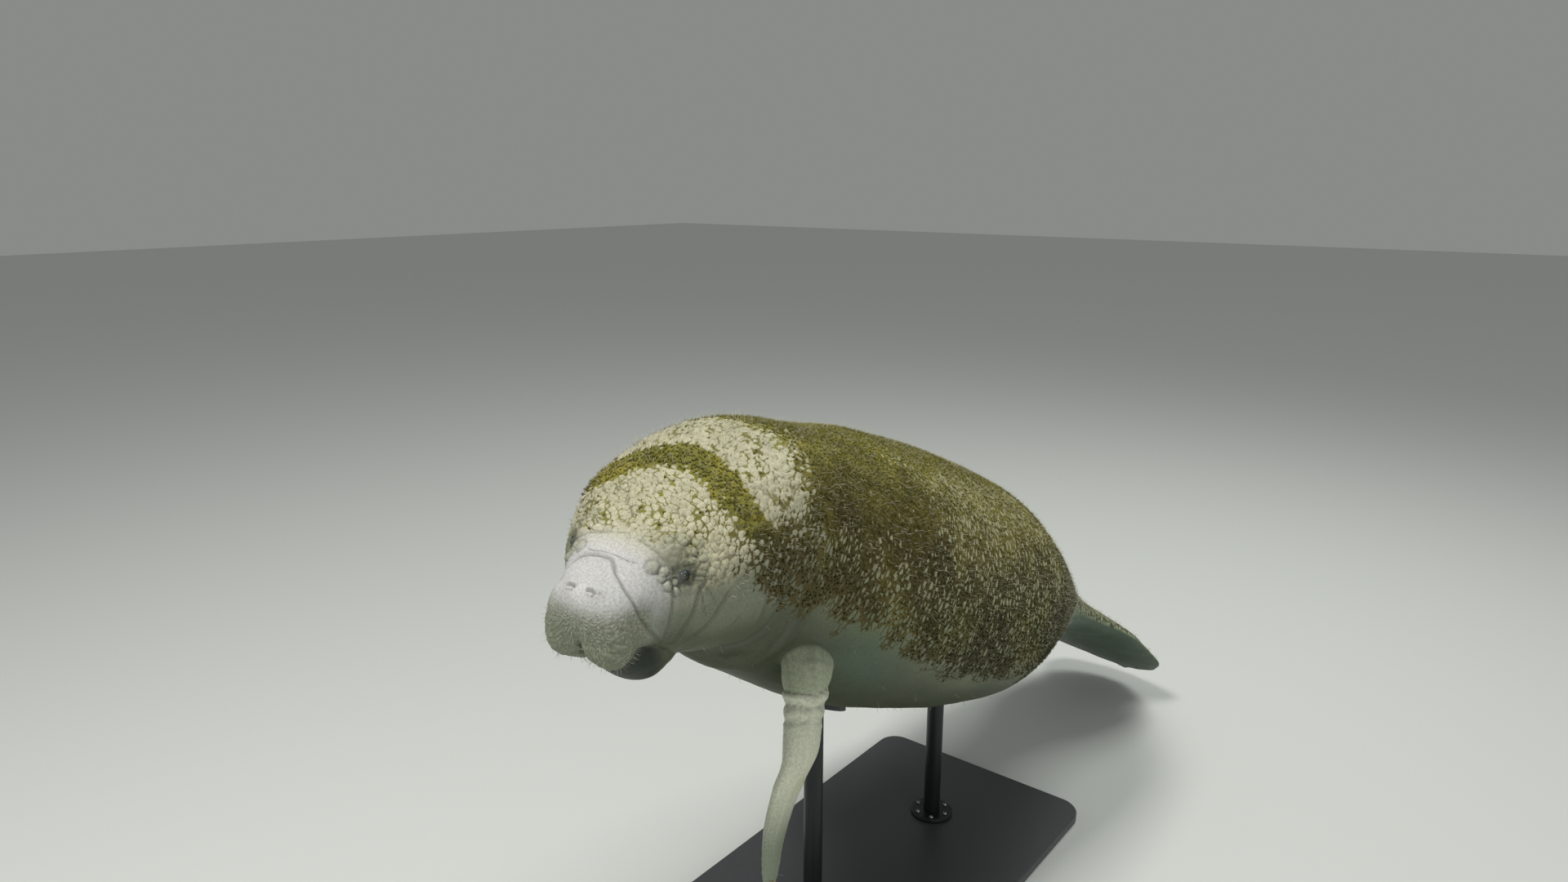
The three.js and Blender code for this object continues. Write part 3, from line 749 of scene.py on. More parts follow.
@dataclass
class SkinGrid:
    """How the skin is divided: rings from snout to tail, with patches for the eyes and flippers."""

    body: BodyForm
    around: int = 288
    crowding: float = 0.2
    snout_rings: int = 42
    fine_end: float = 0.52
    spacing: tuple = (
        (0.060, 0.0028), (0.270, 0.0028), (0.340, 0.0045), (0.510, 0.0058), (0.560, 0.0100),
        (0.950, 0.0100), (1.050, 0.0150), (2.850, 0.0150), (2.930, 0.0060), (3.000, 0.0040),
    )
    eye_rings: int = 26
    eye_patch: tuple[float, float] = (0.027, 0.21)
    flipper_margin: tuple[float, float] = (0.035, 0.10)
    shoulder_rings: int = 6
    flipper_rings: int = 92
    flipper_search: tuple[float, float] = (0.4, 1.3)
    flipper_root: float = 0.6
    flipper_columns: int = 180
    tail_end: tuple = ((0.85, 0.0022), (0.55, 0.0038), (0.25, 0.0045))
    tail_tip: float = 0.0048
    flipper_tip: float = 0.003

    def ring_places(self) -> Array:
        """Where each ring is along the spine.

        Returns:
            Places from the snout to the tail's end.
        """
        rounding, power = self.body.snout_rounding, self.body.snout_power
        b = np.linspace(0, math.pi / 2, self.snout_rings + 1)[1:]
        places = list(rounding * (1 - np.clip(np.cos(b), 0, 1) ** (2 / power)))
        xs, ys = np.array(self.spacing).T
        length = self.body.spine.length
        while places[-1] < length - 0.5 * ys[-1]:
            places.append(places[-1] + float(np.interp(places[-1], xs, ys)))
        places[-1] = length
        return np.array(places)

    def angles(self) -> Array:
        """The angle of each column, crowded towards the back."""
        even = np.arange(self.around) * FULL_TURN / self.around
        return even + self.crowding * np.cos(even)

    def build(self, eyes: Sequence[tuple[float, float]],
              flippers: dict[Region, FlipperForm]) -> SkinMap:
        """Makes the whole skin.

        Args:
            eyes: Each eye's place along the spine and angle.
            flippers: Each flipper's form.

        Returns:
            The skin's points and faces.
        """
        work = Patchwork()
        places, angles = self.ring_places(), self.angles()
        fine = int(np.searchsorted(places, self.fine_end))
        rings = []
        for i, at in enumerate(places):
            turn = angles if i < fine else angles[::2]
            rings.append(work.add(self.body.point(np.full(len(turn), at), turn), at, turn))
        holes = [self._hole(places, angles, eye, self.eye_patch) for eye in eyes]
        shoulders = {region: self._shoulder(form, places, angles) for region, form in flippers.items()}
        holes += [shoulder[0] for shoulder in shoulders.values()]
        for i in range(len(rings) - 1):
            if i == fine - 1:
                work.halve(rings[i], rings[i + 1])
                continue
            work.join(rings[i], rings[i + 1])
            keep = np.ones(len(rings[i]), bool)
            for first, last, low, high in holes:
                if first <= i < last:
                    keep[np.arange(low, high) % len(keep)] = False
            work.quads[-1] = work.quads[-1][keep]
        self._close_ends(work, rings)
        for eye, hole in zip(eyes, holes):
            self._fill_eye(work, self._loop(rings, hole), eye)
        for region, (hole, crossing) in shoulders.items():
            self._fill_flipper(work, self._loop(rings, hole), crossing, flippers[region], region)
        return SkinMap.of(work)

    def _close_ends(self, work: Patchwork, rings: list[Array]) -> None:
        """Closes the snout with one point and the tail with a low round end.

        Args:
            work: The patchwork so far.
            rings: Each ring's point numbers.
        """
        snout = work.add(self.body.point(np.zeros(1), np.zeros(1)), 0.0, math.pi / 2)
        work.cap(rings[0], int(snout[0]), False)
        end, length = rings[-1], self.body.spine.length
        ahead, _, _ = self.body.spine.directions(np.array([length]))
        middle = self.body.spine.centre(np.array([length]))[0]
        edge, turn = work.points[len(rings) - 1], self.angles()[::2]
        for size, back in self.tail_end:
            ring = work.add(middle + (edge - middle) * size - ahead * back, length, turn)
            work.join(end, ring)
            end = ring
        tip = work.add(middle[None] - ahead * self.tail_tip, length, math.pi / 2)
        work.cap(end, int(tip[0]), True)

    def _hole(self, places: Array, angles: Array, middle: tuple[float, float],
              reach: tuple[float, float]) -> tuple[int, int, int, int]:
        """The rings and columns that bound a patch of the body.

        Args:
            places: Each ring's place along the spine.
            angles: Each column's angle.
            middle: The patch's middle: its place and angle.
            reach: How far it reaches along and round.

        Returns:
            The first and last ring, and the first and last column.
        """
        first, last = (int(np.argmin(np.abs(places - middle[0] + sign * reach[0]))) for sign in (1, -1))
        low = int(np.argmin(np.abs(angles - (middle[1] - reach[1]) % FULL_TURN)))
        high = int(np.argmin(np.abs(angles - (middle[1] + reach[1]) % FULL_TURN)))
        return first, last, low, high if high > low else high + len(angles)

    @staticmethod
    def _loop(rings: list[Array], hole: tuple[int, int, int, int]) -> Array:
        """The points round a hole, in the order that joins inwards.

        Args:
            rings: Each ring's point numbers.
            hole: Its first and last ring, and first and last column.

        Returns:
            The points' numbers.
        """
        first, last, low, high = hole
        size = len(rings[first])
        places = [(first, column) for column in range(low, high)]
        places += [(row, high) for row in range(first, last)]
        places += [(last, column) for column in range(high, low, -1)]
        places += [(row, low) for row in range(last, first, -1)]
        return np.array([rings[row][column % size] for row, column in places])

    def _fill_eye(self, work: Patchwork, loop: Array, eye: tuple[float, float]) -> None:
        """Fills an eye's patch with rings that turn from its outline into circles.

        Args:
            work: The patchwork so far.
            loop: The point numbers round the hole.
            eye: The eye's place along the spine and angle.
        """
        at, turn = np.concatenate(work.at)[loop], np.concatenate(work.turn)[loop]
        step = 0.05
        across = self.body.point(eye[0], eye[1] + step) - self.body.point(eye[0], eye[1] - step)
        wide = np.linalg.norm(across) / (2 * step)
        x, y = at - eye[0], ((turn - eye[1] + math.pi) % FULL_TURN - math.pi) * wide
        reach, angle = np.hypot(x, y), np.arctan2(y, x)
        ring = loop
        for size in np.linspace(1, 0, self.eye_rings + 1)[1:-1]:
            far = reach.mean() * size * (1 + (reach / reach.mean() - 1) * size)
            places = eye[0] + far * np.cos(angle)
            turns = eye[1] + far * np.sin(angle) / wide
            inner = work.add(self.body.point(places, turns), places, turns)
            work.join(ring, inner)
            ring = inner
        hub = work.add(self.body.point(np.array([eye[0]]), np.array([eye[1]])), *eye)
        work.cap(ring, int(hub[0]), True)

    def _shoulder(self, form: FlipperForm, places: Array, angles: Array) -> tuple[tuple, tuple]:
        """Where a flipper leaves the body, and the patch of the body that it takes up.

        Args:
            form: The flipper's form.
            places: Each ring's place along the spine.
            angles: Each column's angle.

        Returns:
            The patch's rings and columns; and where the flipper leaves the body, as angles
            round it, shares of its length, places along the spine and angles round that.
        """
        around = np.linspace(0, FULL_TURN, self.flipper_columns, endpoint=False)
        share, turn = np.meshgrid(np.linspace(0, self.flipper_root, 61), around)
        at, side, up = self.body.spine.locate(form.point(share.ravel(), turn.ravel()), *self.flipper_search)
        out, angle = self.body.share_inside(at, side, up)
        out, at, angle = (values.reshape(share.shape) for values in (out, at, angle))
        found = []
        for row, inside in enumerate(out < 1):
            last = int(np.nonzero(inside)[0].max())
            weight = (1 - out[row, last]) / (out[row, last + 1] - out[row, last])
            found.append([grid[row, last] * (1 - weight) + grid[row, last + 1] * weight
                          for grid in (share, at, angle)])
        leave, at, angle = np.array(found).T
        angle = angle % FULL_TURN
        middle = ((at.min() + at.max()) / 2, (angle.min() + angle.max()) / 2)
        reach = (at.max() - middle[0] + self.flipper_margin[0],
                 angle.max() - middle[1] + self.flipper_margin[1])
        return self._hole(places, angles[::2], middle, reach), (around, leave, at, angle)

    def _fill_flipper(self, work: Patchwork, loop: Array, crossing: tuple, form: FlipperForm,
                      region: Region) -> None:
        """Runs rings from a patch's outline to where the flipper leaves the body, and on to its tip.

        Args:
            work: The patchwork so far.
            loop: The point numbers round the hole.
            crossing: Where the flipper leaves the body, as _shoulder gives it.
            form: The flipper's form.
            region: Which flipper it is.
        """
        around, leave, at, angle = crossing
        centre = at.mean(), angle.mean()
        wide = self.body.half(centre[0])
        bearing = np.arctan2((angle - centre[1]) * wide, at - centre[0])
        loop_at, loop_turn = np.concatenate(work.at)[loop], np.concatenate(work.turn)[loop] % FULL_TURN
        sought = np.arctan2((loop_turn - centre[1]) * wide, loop_at - centre[0])
        order = np.argsort(bearing)
        sin, cos, start, start_at, start_turn = (
            np.interp(sought, bearing[order], values[order], period=FULL_TURN)
            for values in (np.sin(around), np.cos(around), leave, at, angle))
        columns = np.arctan2(sin, cos)
        ring = loop
        for k in range(1, self.shoulder_rings + 1):
            weight = k / self.shoulder_rings
            places = loop_at * (1 - weight) + start_at * weight
            turns = loop_turn * (1 - weight) + start_turn * weight
            inner = work.add(self.body.point(places, turns), places, turns, Region.BODY, 1 - weight)
            work.join(ring, inner)
            ring = inner
        for k in range(1, self.flipper_rings + 1):
            weight = k / self.flipper_rings
            share = start + (1 - start) * weight
            inner = work.add(form.point(share, columns), start_at, columns, region, share)
            work.join(ring, inner)
            ring = inner
        middle, along, *_ = form.frame(np.ones(1))
        tip = work.add(middle + along * self.flipper_tip, float(start_at.mean()), 0.0, region, 1.0)
        work.cap(ring, int(tip[0]), True)


@dataclass(frozen=True)
class Fold:
    """A crease of the skin along a path of (place along the spine, degrees round it)."""

    path: tuple[tuple[float, float], ...]
    depth: float
    width: float
    mirrored: bool = True
    bank: float = 0.45

    def line(self, body: BodyForm, hand: int) -> Array:
        """Points close together along the path, on the left side at hand 1 or the right at -1.

        Args:
            body: The animal's form.
            hand: 1 for the left side, -1 for the right.

        Returns:
            The points.
        """
        steps = np.linspace(0, len(self.path) - 1, 24 * (len(self.path) - 1) + 1)
        at = Smooth([(i, place) for i, (place, _) in enumerate(self.path)])(steps)
        turn = np.radians(Smooth([(i, angle) for i, (_, angle) in enumerate(self.path)])(steps))
        return body.point(at, turn if hand > 0 else math.pi - turn)

    def press(self, points: Array, body: BodyForm) -> tuple[Array, Array]:
        """How deep the fold presses each point, with its raised banks, and how much painted shade its groove
        gets.

        Args:
            points: The skin's points.
            body: The animal's form.

        Returns:
            The depth, negative inwards, and the painted shade from 0 to 1.
        """
        depth, dark = np.zeros(len(points)), np.zeros(len(points))
        for hand in (1, -1) if self.mirrored else (1,):
            line = self.line(body, hand)
            room = 5 * self.width
            near = np.all((points > line.min(0) - room) & (points < line.max(0) + room), axis=1)
            chosen = np.nonzero(near)[0]
            gaps = np.linalg.norm(points[chosen][:, None] - line[None], axis=2)
            nearest = gaps.argmin(1)
            gap = gaps[np.arange(len(chosen)), nearest]
            share = nearest / (len(line) - 1)
            fade = ease(share, 0, 0.16) * ease(share, 1, 0.84)
            inner = np.exp(-((gap / self.width) ** 2)) * fade
            banks = self.bank * bell(gap, 2.1 * self.width, self.width) * fade
            depth[chosen] += self.depth * (banks - inner)
            # Painted shade along the groove.
            dark[chosen] = np.maximum(dark[chosen], np.exp(-((gap / (0.62 * self.width)) ** 2)) * fade)
        return depth, dark


@dataclass(frozen=True)
class Lump:
    """A raised plate of thick skin, at a place along the spine and degrees round it."""

    at: float
    angle: float
    radius: float
    rise: float

    def lift(self, points: Array, body: BodyForm) -> tuple[Array, Array]:
        """How far it lifts each point, on both sides of the head, and how much painted shade its rim's groove
        gets.

        Args:
            points: The skin's points.
            body: The animal's form.

        Returns:
            The rise and the painted shade from 0 to 1.
        """
        total, dark = np.zeros(len(points)), np.zeros(len(points))
        for angle in (self.angle, 180 - self.angle):
            middle = body.point(np.array([self.at]), np.radians([angle]))[0]
            gap = np.linalg.norm(points - middle, axis=1) / self.radius
            dome = np.clip(1 - gap**2, 0, 1) ** 0.6
            rim = bell(gap, 1.12, 0.2)
            total += self.rise * (dome - 0.5 * rim)
            # Painted shade in the groove round the plate's rim.
            dark = np.maximum(dark, bell(gap, 1.1, 0.14))
        return total, dark


def cell_edges(places: Array, size: float) -> Array:
    """How far each place is from the border of its cell, from 0 on the border to about 1 inside.

    Args:
        places: The places.
        size: The cells' size.

    Returns:
        A number for each place.
    """
    edges = np.empty(len(places))
    for i, place in enumerate(places / size):
        near, _ = noise.voronoi(Vector(place))
        edges[i] = near[1] - near[0]
    return np.clip(edges / 0.6, 0, 1)


def clouds(places: Array, size: float, seed: float = 0.0) -> Array:
    """Smooth noise from -1 to 1, with features of about this size."""
    shift = Vector((seed, 2 * seed, -seed))
    return np.array([noise.noise(Vector(place) + shift) for place in places / size])


@dataclass
class Relief:
    """The folds, plates, cobbles and wrinkles that the skin adds to the smooth form."""

    body: BodyForm
    eye_centres: Sequence[Array]
    folds: tuple[Fold, ...] = (
        Fold(((0.152, -54), (0.129, -44), (0.088, -18), (0.067, 3), (0.064, 34), (0.074, 63), (0.096, 90),
              (0.097, 118), (0.092, 140), (0.080, 165), (0.075, 180), (0.088, 198), (0.129, 224),
              (0.152, 234)), 0.0042, 0.0034, False),
        Fold(((0.128, 28), (0.131, 15), (0.125, -15), (0.134, -43), (0.152, -55)), 0.0030, 0.0030),
        Fold(((0.190, 14), (0.171, 7), (0.158, -12), (0.153, -25), (0.158, -45), (0.168, -60)),
             0.0036, 0.0034),
        Fold(((0.232, 2), (0.202, -7), (0.180, -24), (0.172, -42), (0.172, -58)), 0.0034, 0.0038),
        Fold(((0.262, -16), (0.232, -28), (0.205, -42), (0.188, -56)), 0.0026, 0.0040),
        Fold(((0.152, 88), (0.146, 67), (0.142, 50), (0.145, 34), (0.150, 27)), 0.0030, 0.0026),
        Fold(((0.104, 92), (0.104, 74), (0.112, 58)), 0.0012, 0.0024),
        Fold(((0.172, 16), (0.182, 4), (0.196, -8)), 0.0016, 0.0024),
        Fold(((0.168, 14), (0.172, -2), (0.180, -16)), 0.0014, 0.0020),
        Fold(((0.176, 20), (0.192, 12), (0.214, 2)), 0.0015, 0.0022),
        Fold(((0.320, -6), (0.330, -30), (0.350, -55), (0.380, -75)), 0.0040, 0.0110),
        Fold(((0.395, 0), (0.410, -30), (0.440, -60), (0.470, -80)), 0.0050, 0.0140),
        Fold(((0.500, -10), (0.520, -30), (0.560, -48)), 0.0030, 0.0120),
        Fold(((0.0185, 82), (0.0215, 71), (0.0190, 60)), 0.0070, 0.0027, True, 0.4),
        Fold(((0.005, 268), (0.022, 269), (0.050, 270), (0.090, 270)), 0.0030, 0.0040, False),
    )
    lumps: tuple[Lump, ...] = (
        Lump(0.122, 47, 0.0115, 0.0042),
        Lump(0.130, 37, 0.0085, 0.0034),
        Lump(0.123, 31, 0.0075, 0.0030),
        Lump(0.126, 20, 0.0090, 0.0036),
        Lump(0.134, 11, 0.0080, 0.0030),
        Lump(0.139, 21, 0.0060, 0.0026),
        Lump(0.188, 55, 0.0125, 0.0036),
        Lump(0.184, 44, 0.0110, 0.0034),
        Lump(0.203, 47, 0.0100, 0.0028),
        Lump(0.174, 62, 0.0100, 0.0028),
        Lump(0.192, 34, 0.0080, 0.0024),
        Lump(0.176, 36, 0.0070, 0.0024),
    )
    cobble_size: float = 0.0135
    cobble_rise: float = 0.0036
    pebble_size: float = 0.0066
    pebble_rise: float = 0.0017
    wrist_folds: tuple = (
        (0.262, 0.0060, 0.0080), (0.308, 0.0044, 0.0065), (0.352, 0.0030, 0.0060), (0.165, 0.0034, 0.0060),
        (0.205, 0.0026, 0.0050),
    )
    root_rounds: int = 40

    def shape(self, skin: SkinMap) -> tuple[Array, dict[str, Array]]:
        """Moves the skin's points.

        Args:
            skin: The smooth skin.

        Returns:
            The moved points, and what the markings need to know of them.
        """
        normals = skin.normals()
        side, up = self.body.plain(skin.at, skin.turn)
        rest = np.stack([side, skin.at, up], 1)
        angle = np.abs(skin.back_angle())
        on_body = skin.on_body
        head = on_body & (skin.at < 0.60)
        # crease gathers painted shade from the folds, the plates' rims and the flipper folds.
        depth, crease = np.zeros(len(skin.at)), np.zeros(len(skin.at))
        chosen = np.nonzero(head)[0]
        for fold in self.folds:
            moved, dark = fold.press(skin.points[chosen], self.body)
            depth[chosen] += moved
            crease[chosen] = np.maximum(crease[chosen], dark)
        plates = np.zeros(len(skin.at))
        for lump in self.lumps:
            moved, dark = lump.lift(skin.points[chosen], self.body)
            depth[chosen] += moved
            plates[chosen] = np.maximum(plates[chosen], (moved > 0.0006).astype(float))
            crease[chosen] = np.maximum(crease[chosen], 0.8 * dark)
        cell, cobble = self._cobbles(rest, skin.at, angle, on_body)
        pebble = on_body * ease(skin.at, 0.105, 0.075) * ease(up, 0.034, -0.012)
        grains = np.zeros(len(skin.at))
        pad = np.nonzero(pebble > 0.01)[0]
        grains[pad] = cell_edges(rest[pad] + 3, self.pebble_size)
        depth += self.cobble_rise * cobble * (cell - 0.55) * (1 - 0.8 * plates)
        depth += self.pebble_rise * pebble * (grains - 0.5)
        swell = clouds(rest, 0.11) * 0.0030 + clouds(rest, 0.045, 5.0) * 0.0011
        depth += swell * ease(skin.at, 0.10, 0.30) * on_body
        depth += self._wrinkles(skin, rest, angle)
        moved, dark = self._flipper_folds(skin)
        depth, crease = depth + moved, np.maximum(crease, dark)
        points = skin.points + normals * depth[:, None]
        points = self._blend_roots(skin, points)
        points, socket, orbit = self._eyes(points, skin.points, skin.at)
        facts = {"rest": rest, "cell": cell, "cobble": cobble, "crease": crease, "pebble": pebble,
                 "grains": grains, "socket": socket, "orbit": orbit, "plates": plates, "angle": angle}
        return points, facts

    def _cobbles(self, rest: Array, at: Array, angle: Array, on_body: Array) -> tuple[Array, Array]:
        """The cobbled skin of the forehead, nape and back: its cells and how strong they are.

        Args:
            rest: Each point's place in the straightened animal.
            at: Places along the spine.
            angle: Degrees from the middle of the back.
            on_body: Which points aren't on a flipper.

        Returns:
            From 0 in a crack to 1 on a cobble, and from 0 to 1 for their strength.
        """
        cobble = on_body * ease(at, 0.128, 0.175) * ease(angle, 96, 74)
        cell = np.full(len(at), 0.6)
        fine = np.nonzero(on_body & (at > 0.12) & (at < 0.56) & (angle < 132))[0]
        warp = np.stack([clouds(rest[fine], 0.03, seed) for seed in (1.0, 4.0, 7.0)], 1) * 0.004
        cell[fine] = cell_edges(rest[fine] + warp, self.cobble_size)
        return cell, cobble

    def _wrinkles(self, skin: SkinMap, rest: Array, angle: Array) -> Array:
        """Fine wrinkles that run round the neck, cheeks and flanks.

        Args:
            skin: The skin.
            rest: Each point's place in the straightened animal.
            angle: Degrees from the middle of the back.

        Returns:
            The rise at each point.
        """
        where = skin.on_body * ease(angle, 60, 95) * ease(skin.at, 0.13, 0.2)
        chosen = np.nonzero((where > 0.01) & (skin.at < 0.62))[0]
        total = np.zeros(len(skin.at))
        stretched = rest[chosen] * np.array([0.35, 1.0, 0.35])
        total[chosen] = clouds(stretched, 0.011, 2.0) * 0.0007 + clouds(stretched, 0.024, 3.0) * 0.0012
        return total * where

    def _flipper_folds(self, skin: SkinMap) -> tuple[Array, Array]:
        """The crease round each flipper's root, its cuff and the folds across its wrist, with painted shade
        in the folds.

        Args:
            skin: The skin.

        Returns:
            The rise and the painted shade from 0 to 1.
        """
        total, dark = np.zeros(len(skin.at)), np.zeros(len(skin.at))
        near = skin.on_body & (skin.share > 0)
        total[near] = -0.0050 * bell(skin.share[near], 0.0, 0.30)
        for region in (Region.LEFT_FLIPPER, Region.RIGHT_FLIPPER):
            chosen = np.nonzero(skin.region == region.value)[0]
            share = skin.share[chosen]
            wave = clouds(skin.points[chosen], 0.05, 9.0)
            place = share + 0.010 * wave
            moved = 0.0045 * bell(place, 0.215, 0.05) * ease(share, 0.10, 0.2)
            for middle, depth, width in self.wrist_folds:
                moved -= depth * bell(place, middle, width)
                moved += 0.5 * depth * bell(place, middle + 2.2 * width, 1.3 * width)
                # Painted shade in each wrist fold.
                line = depth / self.wrist_folds[0][1] * bell(place, middle, 0.6 * width)
                dark[chosen] = np.maximum(dark[chosen], line)
            rings = np.sin(place * 330 + 3 * wave)
            moved += 0.0009 * rings * ease(share, 0.50, 0.30)
            # Painted shade between the fine rings.
            dark[chosen] = np.maximum(dark[chosen], 0.30 * ease(rings, -0.3, -1) * ease(share, 0.46, 0.30))
            rough = ease(share, 0.45, 0.75)
            moved += clouds(skin.points[chosen], 0.011, 6.0) * 0.0010 * rough
            moved += clouds(skin.points[chosen] * np.array([1, 1, 0.4]), 0.007, 8.0) * 0.0006 * rough
            total[chosen] = moved * ease(share, 1.0, 0.96)
        return total, dark

    def _blend_roots(self, skin: SkinMap, points: Array) -> Array:
        """Rounds the corner where each flipper leaves the body, by averaging with the neighbours.

        Args:
            skin: The skin.
            points: The skin's points.

        Returns:
            The moved points.
        """
        limb = ~skin.on_body
        weight = np.where(limb, ease(skin.share, 0.262, 0.225), ease(skin.share, 0.0, 0.55))
        quads, triangles = skin.quads, skin.triangles
        edges = np.vstack([quads[:, [i, (i + 1) % 4]] for i in range(4)]
                          + [triangles[:, [i, (i + 1) % 3]] for i in range(3)])
        touched = (weight[edges[:, 0]] > 0) | (weight[edges[:, 1]] > 0)
        start, end = edges[touched].T
        count = np.bincount(start, minlength=len(points)) + np.bincount(end, minlength=len(points))
        moved = points.copy()
        for _ in range(self.root_rounds):
            total = np.stack([np.bincount(start, moved[end, axis], len(points))
                              + np.bincount(end, moved[start, axis], len(points)) for axis in range(3)], 1)
            mean = total / np.maximum(count, 1)[:, None]
            moved = moved + (mean - moved) * (0.5 * weight * (count > 0))[:, None]
        return moved

    def _eyes(self, points: Array, smooth: Array, at: Array) -> tuple[Array, Array, Array]:
        """Lids round each eye, and the skin between them tucked in behind the eyeball.

        Args:
            points: The skin's points.
            smooth: The points before any relief.
            at: Places along the spine.

        Returns:
            The moved points, and how near each is to an eye's opening and to its surround.
        """
        socket, orbit = np.zeros(len(at)), np.zeros(len(at))
        ahead, left, up = (row[0] for row in self.body.spine.directions(np.array([EYE_AT])))
        for hand, centre in zip((1, -1), self.eye_centres):
            outward = unit(left * hand + ahead * 0.25 + up * 0.25)
            forward = unit(ahead - outward * (ahead @ outward))
            upward = np.cross(outward, forward)
            off = smooth - centre
            x, y = off @ forward, off @ upward
            gap = np.hypot(x / 1.18, y)
            near = (gap < 0.05) & (off @ outward > -0.04)
            gap = np.where(near, gap, 1.0)
            angle = np.arctan2(y, x)
            move = (
                -0.0022 * bell(gap, 0.0175, 0.006)
                + 0.0030 * bell(gap, 0.0092, 0.0026)
                + 0.0012 * bell(gap, 0.0245, 0.0045)
                - 0.0130 * ease(gap, 0.0068, 0.0046)
                + 0.0006 * np.cos(17 * angle + 2 * np.sin(3 * angle)) * bell(gap, 0.0165, 0.006)
            )
            points = points + outward * (move * near)[:, None]
            socket = np.maximum(socket, near * np.exp(-((gap / 0.0155) ** 2)))
            low = np.hypot(off @ forward, np.where(off @ upward < 0, 0.62, 1.25) * (off @ upward))
            orbit = np.maximum(orbit, np.exp(-((low / 0.040) ** 4)) * (off @ outward > -0.06))
        return points, socket, orbit


class Tone(Enum):
    """The animal's colours, from 0 to 255 a channel. Some of them carry painted shade or painted shadow."""

    LAVENDER = (204, 203, 203)
    MUZZLE_SIDE = (140, 146, 134)
    PEBBLE = (150, 154, 128)
    CREAM = (196, 192, 164)
    CHEEK = (126, 132, 112)
    # The throat's own dark tone, with painted shade of the underside.
    THROAT = (88, 95, 74)
    # The belly's own dark grey-green, darkened further with painted shade of the underside.
    BELLY = (74, 82, 62)
    FLECK = (188, 187, 150)
    FLECK_LOW = (122, 128, 98)
    SMOOTH_PATCH = (78, 98, 80)
    FLIPPER = (224, 227, 205)
    FLIPPER_TIP = (140, 150, 128)
    CUFF = (172, 181, 154)
    TAIL = (160, 176, 148)
    # Painted shade on the tail paddle's underside.
    TAIL_UNDER = (82, 98, 82)
    GOLD = (168, 160, 62)
    OLIVE = (122, 122, 46)
    BROWN = (90, 81, 40)
    UMBER = (64, 64, 38)
    # Mostly painted shadow on the front of the lower jaw, with some of its own dark tone.
    LIP = (44, 52, 42)
    # Painted shade in the recess round each eye's opening.
    SOCKET = (52, 60, 58)

    @property
    def light(self) -> Array:
        """The colour as linear light."""
        return rgb(*self.value)


